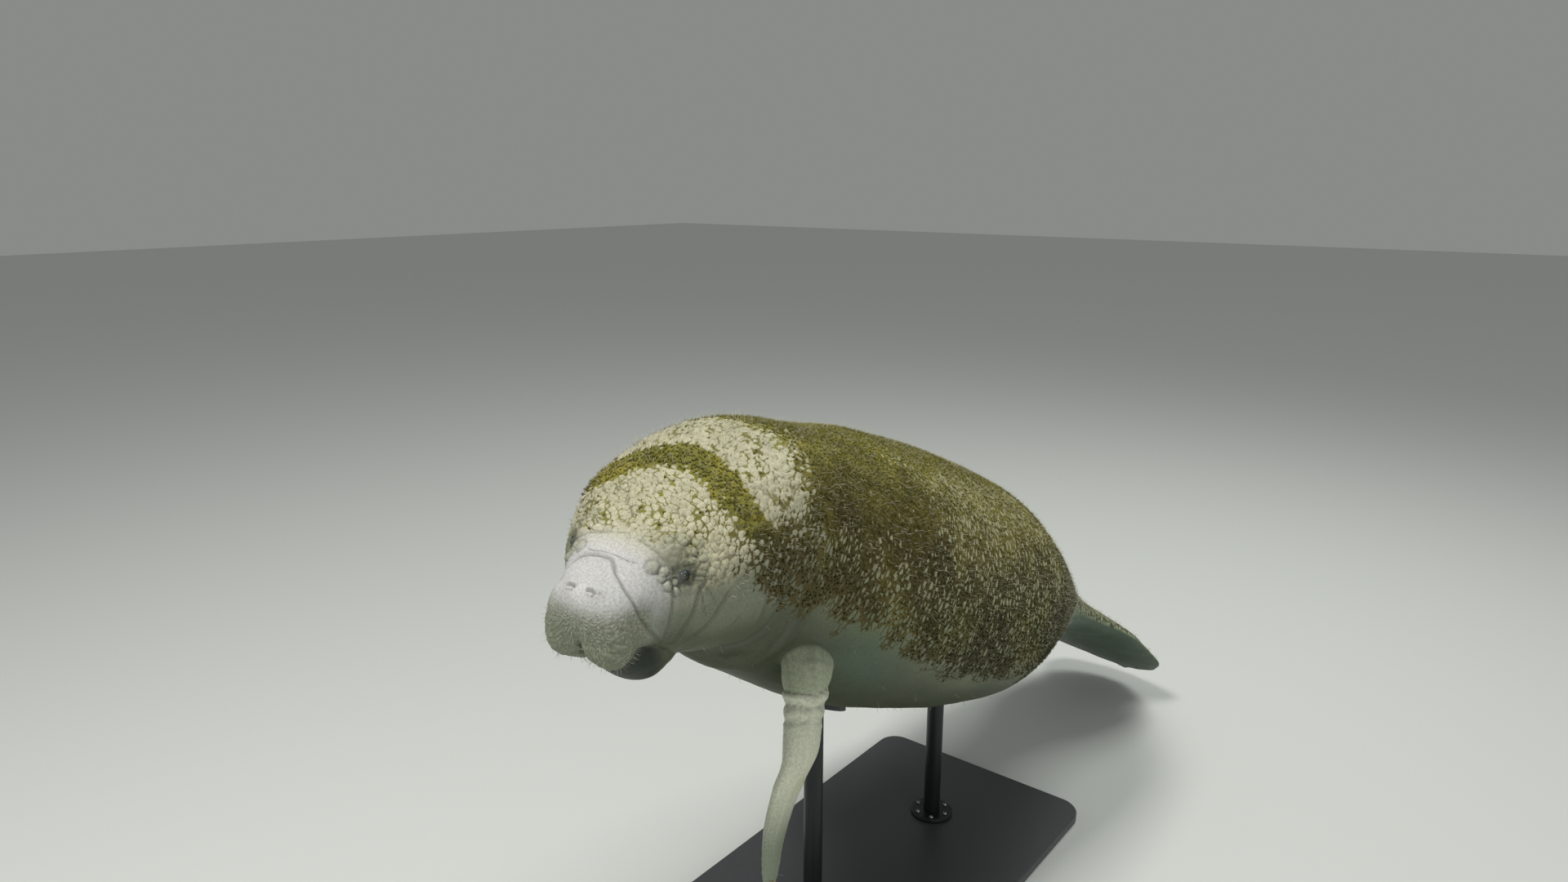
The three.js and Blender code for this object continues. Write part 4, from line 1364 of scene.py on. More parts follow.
@dataclass
class Markings:
    """The colours that skin and coat share, as functions of the place on the body."""

    body: BodyForm

    def paint(self, skin: SkinMap, facts: dict[str, Array]) -> dict[str, Array]:
        """Works out each point's colours.

        Args:
            skin: The skin.
            facts: What the relief knows of each point.

        Returns:
            An array for each attribute: skin_tint, algae_tint and cover.
        """
        rest, at, angle = facts["rest"], skin.at, facts["angle"]
        sizes = ((0.14, 11.0), (0.045, 12.0), (0.016, 13.0))
        wide, small, tiny = (clouds(rest, size, seed) for size, seed in sizes)
        tint = self._skin_tint(skin, facts, wide, small)
        cover = self._cover(at, angle, wide, small, tiny)
        ripe = np.clip(ease(angle, 20, 78) + 0.35 * wide + 0.15 * small, 0, 1)
        ripe = ripe * (1 - 0.75 * self._collar(at, angle, small) * ease(angle, 75, 45))
        gold = mixed(Tone.GOLD.light, Tone.OLIVE.light, np.clip(0.45 + 0.6 * small + 0.3 * wide, 0, 1))
        dark = mixed(Tone.BROWN.light, Tone.UMBER.light,
                     np.clip(ease(at, 0.75, 1.15) * ease(angle, 55, 90) + 0.3 * small, 0, 1))
        algae = mixed(gold, dark, ripe)
        cover = np.where(skin.on_body, cover * ease(facts["orbit"], 0.75, 0.25), 0.0)
        return {"skin_tint": tint, "algae_tint": algae, "cover": np.clip(cover, 0, 1)}

    @staticmethod
    def _collar(at: Array, angle: Array, small: Array) -> Array:
        """The band of algae that arches over the nape.

        Args:
            at: Places along the spine.
            angle: Degrees from the middle of the back.
            small: Small clouds.

        Returns:
            From 0 to 1 inside the band.
        """
        middle = 0.345 - 0.042 * ease(angle, 0, 48) + 0.010 * small
        edge = np.abs(at - middle) + 0.006 * small
        return ease(edge, 0.044, 0.020) * ease(angle + 8 * small, 84, 62)

    def _cover(self, at: Array, angle: Array, wide: Array, small: Array, tiny: Array) -> Array:
        """How much of the cobbled skin the algae hides.

        Args:
            at: Places along the spine.
            angle: Degrees from the middle of the back.
            wide: Wide clouds.
            small: Small clouds.
            tiny: The finest clouds.

        Returns:
            From 0, bare, to about 1, hidden.
        """
        ragged = 9 * small + 7 * wide
        forehead = (0.13 + 0.22 * small + 0.20 * tiny) * ease(at, 0.125, 0.17)
        band_end = 0.462 - 0.050 * ease(angle, 10, 50) + 0.012 * small
        band = 0.13 + 0.20 * small + 0.16 * tiny
        behind = ease(at, band_end, band_end + 0.07)
        flank = 0.56 + 0.20 * small + 0.14 * wide
        mat_end = 0.73 + 0.14 * ease(angle, 8, 50) + 0.03 * small
        mat = ease(at, band_end + 0.03, band_end + 0.12) * ease(at, mat_end + 0.03, mat_end - 0.03)
        mat = mat * ease(angle + ragged, 84, 66)
        crown = 0.86 + 0.12 * small
        rear = 0.50 + 0.16 * small + 0.10 * wide
        patch = bell(at, 1.05, 0.26) * bell(angle, 46, 24)
        rear = rear + 0.10 * ease(angle, 60, 90) - 0.10 * patch
        back = flank * (1 - ease(at, mat_end, mat_end + 0.12)) + rear * ease(at, mat_end, mat_end + 0.12)
        back = np.maximum(back, crown * ease(angle + 1.2 * ragged, 34, 14))
        back = np.maximum(back, mat)
        cover = np.where(at < band_end, np.where(at > 0.36, band, forehead), 0.0)
        cover = cover * (1 - behind) + back * behind
        side_brown = (0.52 + 0.16 * small) * ease(angle + ragged, 56, 72) * ease(at, 0.22, 0.32)
        cover = np.maximum(cover, side_brown)
        cover = np.maximum(cover, 1.05 * self._collar(at, angle, small))
        limit = 98 - 22 * ease(at, 0.42, 0.2) + 14 * bell(at, 0.45, 0.2) + 9 * ease(at, 0.8, 1.2) + ragged
        cover = cover * ease(angle, limit + 9, limit - 7)
        tail = ease(at, 1.85, 2.05)
        return cover * (1 - tail) + tail * (0.34 + 0.2 * small) * ease(angle, 100, 70)

    def _skin_tint(self, skin: SkinMap, facts: dict[str, Array], wide: Array, small: Array) -> Array:
        """The colour of the bare skin, with painted shade on the throat, belly, muzzle's underside, paddle's
        underside and round the eyes' openings, and painted shadow on the lower jaw's front.

        Args:
            skin: The skin.
            facts: What the relief knows of each point.
            wide: Wide clouds.
            small: Small clouds.

        Returns:
            A colour for each point.
        """
        at, angle, up = skin.at, facts["angle"], facts["rest"][:, 2]
        # Darker towards the underside: the throat's own tone with painted shade.
        tint = mixed(Tone.CHEEK.light, Tone.THROAT.light, ease(angle, 96, 128))
        tint = mixed(tint, Tone.CREAM.light, ease(angle + 12 * small, 98, 60) * ease(at, 0.09, 0.13))
        face = ease(at, 0.150, 0.095)
        muzzle = mixed(Tone.MUZZLE_SIDE.light, Tone.LAVENDER.light, ease(up + 0.012 * small, -0.045, 0.046))
        muzzle = mixed(muzzle, Tone.PEBBLE.light, 0.7 * facts["pebble"] * np.clip(0.75 + 0.3 * small, 0, 1))
        # Painted shade under the muzzle.
        muzzle = mixed(muzzle, Tone.THROAT.light, 0.6 * ease(up + 0.012 * wide, -0.050, -0.105))
        tint = mixed(tint, muzzle, face)
        pale_cheek = bell(at, 0.115, 0.045) * ease(angle, 104, 70)
        tint = mixed(tint, Tone.LAVENDER.light, 0.6 * pale_cheek)
        trunk = ease(at, 0.40, 0.62)
        fleck = mixed(Tone.FLECK.light, Tone.FLECK_LOW.light, ease(angle, 62, 104))
        tint = mixed(tint, fleck, trunk * ease(angle, 124, 96))
        # The belly's own dark tone, with painted shade of the underside.
        tint = mixed(tint, Tone.BELLY.light, ease(at, 0.30, 0.6) * ease(angle + 6 * wide, 98, 122))
        smooth = bell(at, 0.82, 0.11) * bell(angle, 112, 15)
        tint = mixed(tint, Tone.SMOOTH_PATCH.light, 0.8 * smooth)
        tail = ease(at, 1.85, 2.10)
        # Paler on top, with painted shade on the paddle's underside.
        paddle = mixed(Tone.TAIL.light, Tone.TAIL_UNDER.light, ease(angle, 84, 96))
        tint = mixed(tint, paddle, tail)
        # Painted shadow, with some of the lip's own dark tone, on the front of the lower jaw.
        jaw = self._lower_lip(skin, facts)
        tint = mixed(tint, Tone.LIP.light, jaw)
        tint = mixed(tint, Tone.THROAT.light, 0.75 * facts["orbit"] * (1 - facts["plates"]))
        # Painted shade in the recess round each eye's opening.
        tint = mixed(tint, Tone.SOCKET.light, np.clip(1.15 * facts["socket"], 0, 1))
        tint = mixed(tint, Tone.PEBBLE.light, 0.55 * facts["plates"])
        for region in (Region.LEFT_FLIPPER, Region.RIGHT_FLIPPER):
            chosen = (skin.region == region.value).astype(float)
            share = skin.share
            shaft = mixed(Tone.CHEEK.light, Tone.CUFF.light, ease(share + 0.02 * small, 0.10, 0.20))
            shaft = mixed(shaft, Tone.FLIPPER.light, ease(share, 0.245, 0.275))
            shaft = mixed(shaft, Tone.FLIPPER_TIP.light, ease(share + 0.05 * small, 0.50, 0.74))
            patch = bell(share, 0.52, 0.035) * bell(skin.turn, math.pi / 2, 0.55)
            shaft = mixed(shaft, Tone.GOLD.light, 0.6 * patch * np.clip(0.5 + small, 0, 1))
            tint = mixed(tint, shaft, chosen)
        spots = 0.5 + 0.5 * small
        return tint * (0.90 + 0.20 * spots)[:, None]

    def _lower_lip(self, skin: SkinMap, facts: dict[str, Array]) -> Array:
        """How much painted shadow, with some of the lip's own dark tone, lies on each point at the front of
        the lower jaw.

        Args:
            skin: The skin.
            facts: What the relief knows of each point.

        Returns:
            From 0 to 1 on the shadowed lip.
        """
        side, up = facts["rest"][:, 0], facts["rest"][:, 2]
        reach = self.body.jaw_reach(skin.at, side, np.minimum(up, -TINY))
        proud = ease(reach - np.hypot(side, up), -0.004, 0.006)
        return np.where(up < -0.02, proud, 0.0) * ease(skin.at, 0.185, 0.135) * ease(skin.at, 0.085, 0.095)


class Graph:
    """A small hand for making node trees."""

    def __init__(self, tree: bpy.types.NodeTree) -> None:
        """Works on this tree."""
        self.tree = tree

    def wire(self, node: bpy.types.Node, inputs: dict) -> None:
        """Gives a node's inputs their values or links.

        Args:
            node: The node.
            inputs: Each input's value or the socket it is linked to.
        """
        for key, value in inputs.items():
            if isinstance(value, Socket):
                self.tree.links.new(value, node.inputs[key])
            else:
                node.inputs[key].default_value = value

    def node(self, kind: str, inputs: dict | None = None, **settings: object) -> bpy.types.Node:
        """Adds a node, with its settings and its inputs' values or links.

        Args:
            kind: The node's type.
            inputs: Each input's value or the socket it is linked to.
            settings: The node's own settings.

        Returns:
            The node.
        """
        made = self.tree.nodes.new(kind)
        for name, value in settings.items():
            setattr(made, name, value)
        self.wire(made, inputs or {})
        return made

    def math(self, operation: str, *values: object, clamp: bool = False) -> Socket:
        """The result of a Math node."""
        inputs = dict(enumerate(values))
        return self.node("ShaderNodeMath", inputs, operation=operation, use_clamp=clamp).outputs[0]

    def plus(self, first: object, second: object) -> Socket:
        """A sum."""
        return self.math("ADD", first, second)

    def minus(self, first: object, second: object) -> Socket:
        """A difference."""
        return self.math("SUBTRACT", first, second)

    def times(self, first: object, second: object) -> Socket:
        """A product."""
        return self.math("MULTIPLY", first, second)

    def vectors(self, operation: str, *values: object) -> Socket:
        """The vector that a Vector Math node gives."""
        return self.node("ShaderNodeVectorMath", dict(enumerate(values)), operation=operation).outputs[0]

    def scaled(self, vector: object, by: object) -> Socket:
        """A vector times a number."""
        return self.node("ShaderNodeVectorMath", {0: vector, "Scale": by}, operation="SCALE").outputs[0]

    def spread(self, value: object, low: float, high: float) -> Socket:
        """A smooth step from 0 at low to 1 at high."""
        inputs = {"Value": value, "From Min": low, "From Max": high}
        return self.node("ShaderNodeMapRange", inputs, interpolation_type="SMOOTHSTEP").outputs[0]

    def mix(self, weight: object, first: object, second: object, blend: str = "MIX") -> Socket:
        """A mix of two colours."""
        inputs = {0: weight, 6: first, 7: second}
        return self.node("ShaderNodeMix", inputs, data_type="RGBA", blend_type=blend).outputs[2]

    def place(self) -> Socket:
        """The place on the object."""
        return self.node("ShaderNodeTexCoord").outputs["Object"]

    def number(self, name: str) -> Socket:
        """A number kept at each point."""
        return self.node("ShaderNodeAttribute", attribute_name=name).outputs["Fac"]

    def colour(self, name: str) -> Socket:
        """A colour kept at each point."""
        return self.node("ShaderNodeAttribute", attribute_name=name).outputs["Color"]

    def vector(self, name: str) -> Socket:
        """A vector kept at each point."""
        return self.node("ShaderNodeAttribute", attribute_name=name).outputs["Vector"]

    def named(self, name: object, kind: str = "FLOAT") -> Socket:
        """A named attribute, in a Geometry Nodes tree."""
        return self.node("GeometryNodeInputNamedAttribute", {"Name": name}, data_type=kind).outputs[0]

    def noise(self, vector: object, scale: float, detail: float = 2.0) -> Socket:
        """The value of a noise texture."""
        inputs = {"Vector": vector, "Scale": scale, "Detail": detail}
        return self.node("ShaderNodeTexNoise", inputs).outputs[0]

    def stretch(self, vector: object, scale: tuple[float, float, float]) -> Socket:
        """A vector scaled along each axis."""
        return self.node("ShaderNodeMapping", {"Vector": vector, "Scale": scale}).outputs[0]

    def bump(self, height: object, strength: float, distance: float) -> Socket:
        """The normal of a surface with this relief."""
        inputs = {"Height": height, "Strength": strength, "Distance": distance}
        return self.node("ShaderNodeBump", inputs).outputs[0]


class Surface(Graph):
    """A new material and its node tree."""

    def __init__(self, name: str) -> None:
        """Makes the material under this name.

        Args:
            name: The material's name.
        """
        self.material = bpy.data.materials.new(name)
        self.material.use_nodes = True
        super().__init__(self.material.node_tree)

    def finish(self, inputs: dict[str, object]) -> bpy.types.Material:
        """Sets or links the shader's own sockets, and gives the material."""
        self.wire(self.tree.nodes["Principled BSDF"], inputs)
        return self.material


class Growth(Graph):
    """A new Geometry Nodes tree with named inputs, which can be applied to objects."""

    def __init__(self, name: str, inputs: Sequence[tuple[str, str]]) -> None:
        """Makes the tree.

        Args:
            name: The tree's name.
            inputs: The name and kind of each input after the geometry.
        """
        tree = bpy.data.node_groups.new(name, "GeometryNodeTree")
        for label, kind in (("Geometry", "Geometry"), *inputs):
            tree.interface.new_socket(label, in_out="INPUT", socket_type=f"NodeSocket{kind}")
        tree.interface.new_socket("Geometry", in_out="OUTPUT", socket_type="NodeSocketGeometry")
        super().__init__(tree)
        self.given = self.node("NodeGroupInput").outputs

    def chance(self, low: object, high: object, kind: str = "FLOAT") -> Socket:
        """A random number or vector for each point, from the tree's seed.

        Args:
            low: The least.
            high: The greatest.
            kind: FLOAT or FLOAT_VECTOR.

        Returns:
            The number or vector.
        """
        first, output = (2, 1) if kind == "FLOAT" else (0, 0)
        inputs = {first: low, first + 1: high, "Seed": self.given["Seed"]}
        return self.node("FunctionNodeRandomValue", inputs, data_type=kind).outputs[output]

    def scatter(self, points: object, piece: object, **others: object) -> Socket:
        """A real copy of a piece at each point.

        Args:
            points: Where the copies go.
            piece: What is copied.
            others: Their rotation and scale.

        Returns:
            The copies.
        """
        inputs = {"Points": points, "Instance": piece, **others}
        copies = self.node("GeometryNodeInstanceOnPoints", inputs).outputs[0]
        return self.node("GeometryNodeRealizeInstances", {0: copies}).outputs[0]

    def shape_of(self, name: str) -> Socket:
        """The shape of the object that an input names."""
        return self.node("GeometryNodeObjectInfo", {"Object": self.given[name]}).outputs["Geometry"]

    def end(self, geometry: object) -> None:
        """Ends the tree with its material.

        Args:
            geometry: What the tree has made.
        """
        inputs = {"Geometry": geometry, "Material": self.given["Finish"]}
        done = self.node("GeometryNodeSetMaterial", inputs).outputs[0]
        self.node("NodeGroupOutput", {0: done})

    def apply(self, made: bpy.types.Object, values: dict[str, object]) -> None:
        """Puts what the tree makes of an object in place of its mesh.

        Args:
            made: The object.
            values: A value for each named input.
        """
        modifier = made.modifiers.new(self.tree.name, "NODES")
        modifier.node_group = self.tree
        for socket in self.tree.interface.items_tree:
            if socket.in_out == "INPUT" and socket.name in values:
                modifier[socket.identifier] = values[socket.name]
        graph = bpy.context.evaluated_depsgraph_get()
        mesh = bpy.data.meshes.new_from_object(made.evaluated_get(graph), depsgraph=graph)
        made.modifiers.remove(modifier)
        made.data = mesh


@dataclass(frozen=True)
class Flecks:
    """The pale flecks of the rear body, drawn out round it, which skin and coat share."""

    size: float = 0.0115
    stretch: float = 0.5
    wander: float = 0.010

    def cells(self, g: Graph, rest: Socket) -> Socket:
        """From 0 on a cell's border to 1 inside it.

        Args:
            g: The tree to work in.
            rest: The place in the straightened animal.

        Returns:
            The number.
        """
        drawn = g.vectors("MULTIPLY", rest, (self.stretch, 1.0, self.stretch))
        warp = g.node("ShaderNodeTexNoise", {"Vector": drawn, "Scale": 60.0, "Detail": 1.0}).outputs["Color"]
        bent = g.vectors("ADD", drawn, g.scaled(warp, self.wander))
        edge = g.node("ShaderNodeTexVoronoi", {"Vector": bent, "Scale": 1 / self.size},
                      feature="DISTANCE_TO_EDGE").outputs["Distance"]
        return g.spread(edge, 0.0, 0.42)

    def all_cells(self, g: Graph, rest: Socket, near: Socket,
                  rear: Socket) -> tuple[Socket, Socket]:
        """The head's own cells, which give way to the flecks behind; and the flecks alone.

        Args:
            g: The tree to work in.
            rest: The place in the straightened animal.
            near: The head's cells.
            rear: 1 behind the head and 0 on it.

        Returns:
            Both cells and flecks, and the flecks.
        """
        far = self.cells(g, rest)
        head = g.math("MULTIPLY", near, g.math("SUBTRACT", 1.0, rear))
        return g.math("ADD", head, g.math("MULTIPLY", far, rear)), far


@dataclass(frozen=True)
class SkinFinish:
    """Thick hide: cobbled and creased, with algae in the cracks."""

    roughness: float = 0.52
    flecks: Flecks = Flecks()

    def material(self) -> bpy.types.Material:
        """Makes the material.

        Returns:
            The material.
        """
        g = Surface("manatee_hide")
        place, rest, rear, cover = g.place(), g.vector("rest"), g.number("rear"), g.number("cover")
        stretched = g.stretch(rest, (0.5, 1.0, 0.5))
        cell, far_cell = self.flecks.all_cells(g, rest, g.number("cell"), rear)
        fine, coarse = g.noise(place, 330.0, 3.0), g.noise(stretched, 95.0, 3.0)
        ragged = g.plus(g.times(g.minus(fine, 0.5), 0.55), g.times(g.minus(coarse, 0.5), 0.45))
        level = g.plus(g.minus(cover, cell), ragged)
        share = g.times(g.spread(level, -0.10, 0.16), g.spread(cover, 0.01, 0.10))
        tint = g.colour("algae_tint")
        dark = g.mix(0.62, tint, (0.05, 0.04, 0.012, 1))
        algae = g.mix(g.spread(g.noise(place, 420.0), 0.30, 0.72), dark, tint)
        pores = g.node("ShaderNodeTexVoronoi", {"Vector": place, "Scale": 260.0}).outputs["Distance"]
        height = g.times(g.noise(place, 520.0, 3.0), 0.35)
        for more in (g.times(pores, g.times(g.number("pebble"), -1.6)),
                     g.times(g.times(far_cell, rear), g.times(g.number("cobble"), 2.2)),
                     g.times(fine, g.times(share, 1.6)), g.times(g.noise(stretched, 210.0), 0.8)):
            height = g.plus(height, more)
        return g.finish({
            "Base Color": g.mix(share, self._bare(g, place, rest, cell), algae), "Specular IOR Level": 0.35,
            "Roughness": g.plus(self.roughness, g.times(share, 0.30)), "Normal": g.bump(height, 0.8, 0.0011)})

    @staticmethod
    def _bare(g: Graph, place: Socket, rest: Socket,
              cell: Socket) -> Socket:
        """The bare skin: its tint, blotched, with painted shade in the creases, and darker between pebbles
        and in cracks.

        Args:
            g: The tree to work in.
            place: The place on the skin.
            rest: The place in the straightened animal.
            cell: From 0 in the cracks to 1 on the cobbles.

        Returns:
            The colour.
        """
        blotch = g.times(g.spread(g.noise(place, 240.0, 4.0), 0.35, 0.7), 0.34)
        skin = g.mix(blotch, g.colour("skin_tint"), (0.30, 0.31, 0.25, 1), "MULTIPLY")
        cobble = g.number("cobble")
        plate = g.times(g.spread(g.noise(rest, 85.0, 0.0), 0.42, 0.62), g.times(cobble, 0.42))
        # Painted shade in the folds' grooves and round the plates' rims.
        crease = g.times(g.number("crease"), 0.72)
        grain = g.times(g.times(g.spread(g.number("grains"), 0.55, 0.05), g.number("pebble")), 0.60)
        crack = g.times(g.times(g.spread(cell, 0.26, 0.02), cobble), 0.78)
        for weight, shade in ((plate, (0.36, 0.34, 0.22, 1)), (crease, (0.10, 0.11, 0.085, 1)),
                              (grain, (0.13, 0.14, 0.09, 1)), (crack, (0.13, 0.12, 0.06, 1))):
            skin = g.mix(weight, skin, shade)
        return skin


def mesh_object(name: str, points: Array, *faces: Array, smooth: bool = True) -> bpy.types.Object:
    """A mesh object at the origin, from arrays of points and faces.

    Args:
        name: The new name.
        points: The points.
        faces: Arrays of faces, by how many corners they have.
        smooth: Whether the faces are shaded smooth.

    Returns:
        The object.
    """
    mesh = bpy.data.meshes.new(name)
    mesh.from_pydata(points.tolist(), [], [face for kind in faces for face in kind.tolist()])
    mesh.polygons.foreach_set("use_smooth", np.full(len(mesh.polygons), smooth))
    mesh.update()
    made = bpy.data.objects.new(name, mesh)
    bpy.context.scene.collection.objects.link(made)
    return made


def closed_form(name: str, rings: Array, poles: Array, smooth: bool = True) -> bpy.types.Object:
    """A closed mesh of rings between two poles, with its faces turned outwards.

    Args:
        name: The new name.
        rings: The rings' points, as rings by sides by three.
        poles: The point before the first ring and the one after the last.
        smooth: Whether the faces are shaded smooth.

    Returns:
        The object.
    """
    count, sides, _ = rings.shape
    index = np.arange(count * sides).reshape(count, sides)
    turned = np.roll(index, -1, 1)
    quads = np.stack([index[:-1], index[1:], turned[1:], turned[:-1]], -1).reshape(-1, 4)
    first, last = np.full(sides, count * sides), np.full(sides, count * sides + 1)
    caps = np.vstack([np.stack([first, index[0], turned[0]], 1), np.stack([last, turned[-1], index[-1]], 1)])
    made = mesh_object(name, np.vstack([rings.reshape(-1, 3), poles]), quads, caps, smooth=smooth)
    mesh = bmesh.new()
    mesh.from_mesh(made.data)
    bmesh.ops.recalc_face_normals(mesh, faces=mesh.faces)
    mesh.to_mesh(made.data)
    mesh.free()
    made.data.update()
    return made


def keep(mesh: bpy.types.Mesh, name: str, values: Array) -> None:
    """Keeps numbers, vectors or colours at each point of a mesh.

    Args:
        mesh: The mesh.
        name: The attribute's name, which ends in tint for a colour.
        values: A number, vector or colour for each point.
    """
    kind, part = ("FLOAT", "value") if values.ndim == 1 else ("FLOAT_VECTOR", "vector")
    if name.endswith("tint"):
        kind, part = "FLOAT_COLOR", "color"
        values = np.concatenate([values, np.ones((len(values), 1))], 1)
    mesh.attributes.new(name, kind, "POINT").data.foreach_set(part, values.astype(np.float32).ravel())


@dataclass
class Skin:
    """The one skin that stands for all the flesh."""

    body: BodyForm
    flippers: dict[Region, FlipperForm]
    eye_centres: Sequence[Array]
    flesh: tuple[str, ...] = (
        "muzzle", "lower_jaw", "head", "neck", "trunk_front", "trunk_rear", "tail_stock", "tail_paddle",
        "flipper_left", "flipper_right",
    )
    eye_up: float = 0.038
    limb_place: float = 2.9

    def build(self) -> bpy.types.Object:
        """Makes the skin's mesh, with its markings kept at its points.

        Returns:
            The skin.
        """
        height = self.eye_up / float(self.body.top(EYE_AT))
        turn = math.asin(height ** (self.body.section_power / 2))
        skin = SkinGrid(self.body).build([(EYE_AT, turn), (EYE_AT, math.pi - turn)], self.flippers)
        points, facts = Relief(self.body, self.eye_centres).shape(skin)
        on_body = skin.on_body
        marks = Markings(self.body).paint(skin, facts)
        marks.update({name: facts[name] for name in ("rest", "cell", "cobble", "crease", "pebble", "grains")})
        marks.update({
            "rear": ease(skin.at, 0.47, 0.54) * on_body, "place": np.where(on_body, skin.at, self.limb_place),
            "hairs": self._hair_weight(skin), "bristles": self._bristle_weight(skin, facts),
            "lie": self._lie(skin)})
        made = mesh_object("skin", points, skin.quads, skin.triangles)
        for name, values in marks.items():
            keep(made.data, name, values)
        self._unwrap(made, skin)
        return made

    @staticmethod
    def _hair_weight(skin: SkinMap) -> Array:
        """Where the sparse body hairs grow: over the back and flanks, and on the flippers' edges.

        Args:
            skin: The skin.

        Returns:
            From 0 to 1 at each point.
        """
        angle = np.abs(skin.back_angle())
        on_body = skin.on_body
        trunk = ease(skin.at, 0.16, 0.24) * (0.05 + 0.95 * ease(angle, 104, 72))
        limb = 0.6 * ease(skin.share, 0.86, 0.93)
        return np.where(on_body, trunk, limb)

    @staticmethod
    def _bristle_weight(skin: SkinMap, facts: dict[str, Array]) -> Array:
        """Where the muzzle's bristles grow: on the pads and round the lips, and a few on the chin.

        Args:
            skin: The skin.
            facts: What the relief knows of each point.

        Returns:
            From 0 to 1 at each point.
        """
        up = facts["rest"][:, 2]
        pads = ease(skin.at, 0.100, 0.070) * ease(up, 0.020, -0.030)
        lips = 1 + 1.2 * bell(up, -0.095, 0.018)
        chin = 0.5 * ease(up, -0.110, -0.150) * ease(skin.at, 0.150, 0.120)
        return np.where(skin.on_body, np.clip(0.45 * pads * lips + chin, 0, 1), 0)

    def _lie(self, skin: SkinMap) -> Array:
        """Which way the coat lies at each point: back along the body and a little down."""
        ahead, _, _ = self.body.spine.directions(skin.at)
        return unit(-ahead + np.array([0, 0, -0.45]))

    def _unwrap(self, made: bpy.types.Object, skin: SkinMap) -> None:
        """A map of the skin's own shape: angle across and place along, each flipper in a strip of its own.

        Args:
            made: The skin's object.
            skin: What is known of its points.
        """
        mesh = made.data
        corner = np.empty(len(mesh.loops), np.int32)
        mesh.loops.foreach_get("vertex_index", corner)
        share = (skin.turn / FULL_TURN + 0.25) % 1.0
        across = share[corner]
        start = np.empty(len(mesh.polygons), np.int32)
        mesh.polygons.foreach_get("loop_start", start)
        face = np.repeat(np.arange(len(start)), np.diff(np.append(start, len(corner))))
        highest = np.full(len(start), -1.0)
        np.maximum.at(highest, face, across)
        across = np.where((highest[face] > 0.75) & (across < 0.25), across + 1, across)
        region, at, limb = skin.region[corner], skin.at[corner], skin.share[corner]
        body = region == Region.BODY.value
        strip = np.where(region == Region.LEFT_FLIPPER.value, 0.02, 0.52)
        u = np.where(body, 0.01 + 0.97 * across, strip + 0.46 * np.clip(across, 0, 1))
        v = np.where(body, 0.01 + 0.26 * at, 0.82 + 0.16 * limb)
        layer = mesh.uv_layers.new(name="unwrap")
        layer.data.foreach_set("uv", np.stack([u, v], 1).astype(np.float32).ravel())

    def dress(self, made: bpy.types.Object) -> None:
        """Gives the skin its finish and puts it in place of the flesh.

        Args:
            made: The skin's object.
        """
        made.data.materials.append(SkinFinish().material())
        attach(made, "root")
        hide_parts(*self.flesh)


@dataclass
class Eye:
    """An eyeball: a dark, wet, slightly bulging ball with a deep brown iris."""

    node: str
    hand: int
    body: BodyForm
    radius: float = 0.0098
    rings: int = 26
    sides: int = 40

    def build(self) -> None:
        """Makes the ball, with how far each point is from its gaze."""
        low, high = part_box(self.node)
        centre = np.array((low + high) / 2)
        ahead, left, up = (row[0] for row in self.body.spine.directions(np.array([EYE_AT])))
        gaze = unit(left * self.hand + ahead * 0.35 + up * 0.10)
        across = unit(np.cross(gaze, up))
        above = np.cross(across, gaze)
        fall = np.linspace(0, math.pi, self.rings + 1)[1:-1]
        round_ = np.linspace(0, FULL_TURN, self.sides, endpoint=False)
        bulge = self.radius * (1 + 0.05 * np.exp(-((fall / 0.5) ** 2)))
        rings = (bulge * np.cos(fall))[:, None, None] * gaze + (bulge * np.sin(fall))[:, None, None] * (
            np.cos(round_)[:, None] * across + np.sin(round_)[:, None] * above)[None]
        poles = np.stack([gaze * bulge[0] * 1.004, -gaze * self.radius])
        made = closed_form(f"eyeball_{self.node}", rings + centre, poles + centre)
        keep(made.data, "gaze", np.concatenate([np.repeat(fall, self.sides), [0.0, math.pi]]))
        made.data.materials.append(self._material())
        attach(made, "root")
        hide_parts(self.node)

    @staticmethod
    def _material() -> bpy.types.Material:
        """Black pupil, dark iris and blue-grey rim under a wet shine.

        Returns:
            The material.
        """
        g = Surface("wet_eye")
        gaze = g.number("gaze")
        iris = g.mix(g.noise(g.place(), 900.0), (0.020, 0.016, 0.011, 1), (0.060, 0.048, 0.034, 1))
        colour = g.mix(g.spread(gaze, 0.24, 0.30), (0.002, 0.002, 0.003, 1), iris)
        colour = g.mix(g.spread(gaze, 0.62, 0.74), colour, (0.075, 0.090, 0.105, 1))
        return g.finish({"Base Color": colour, "Roughness": 0.07, "Coat Weight": 0.6, "Coat Roughness": 0.04})


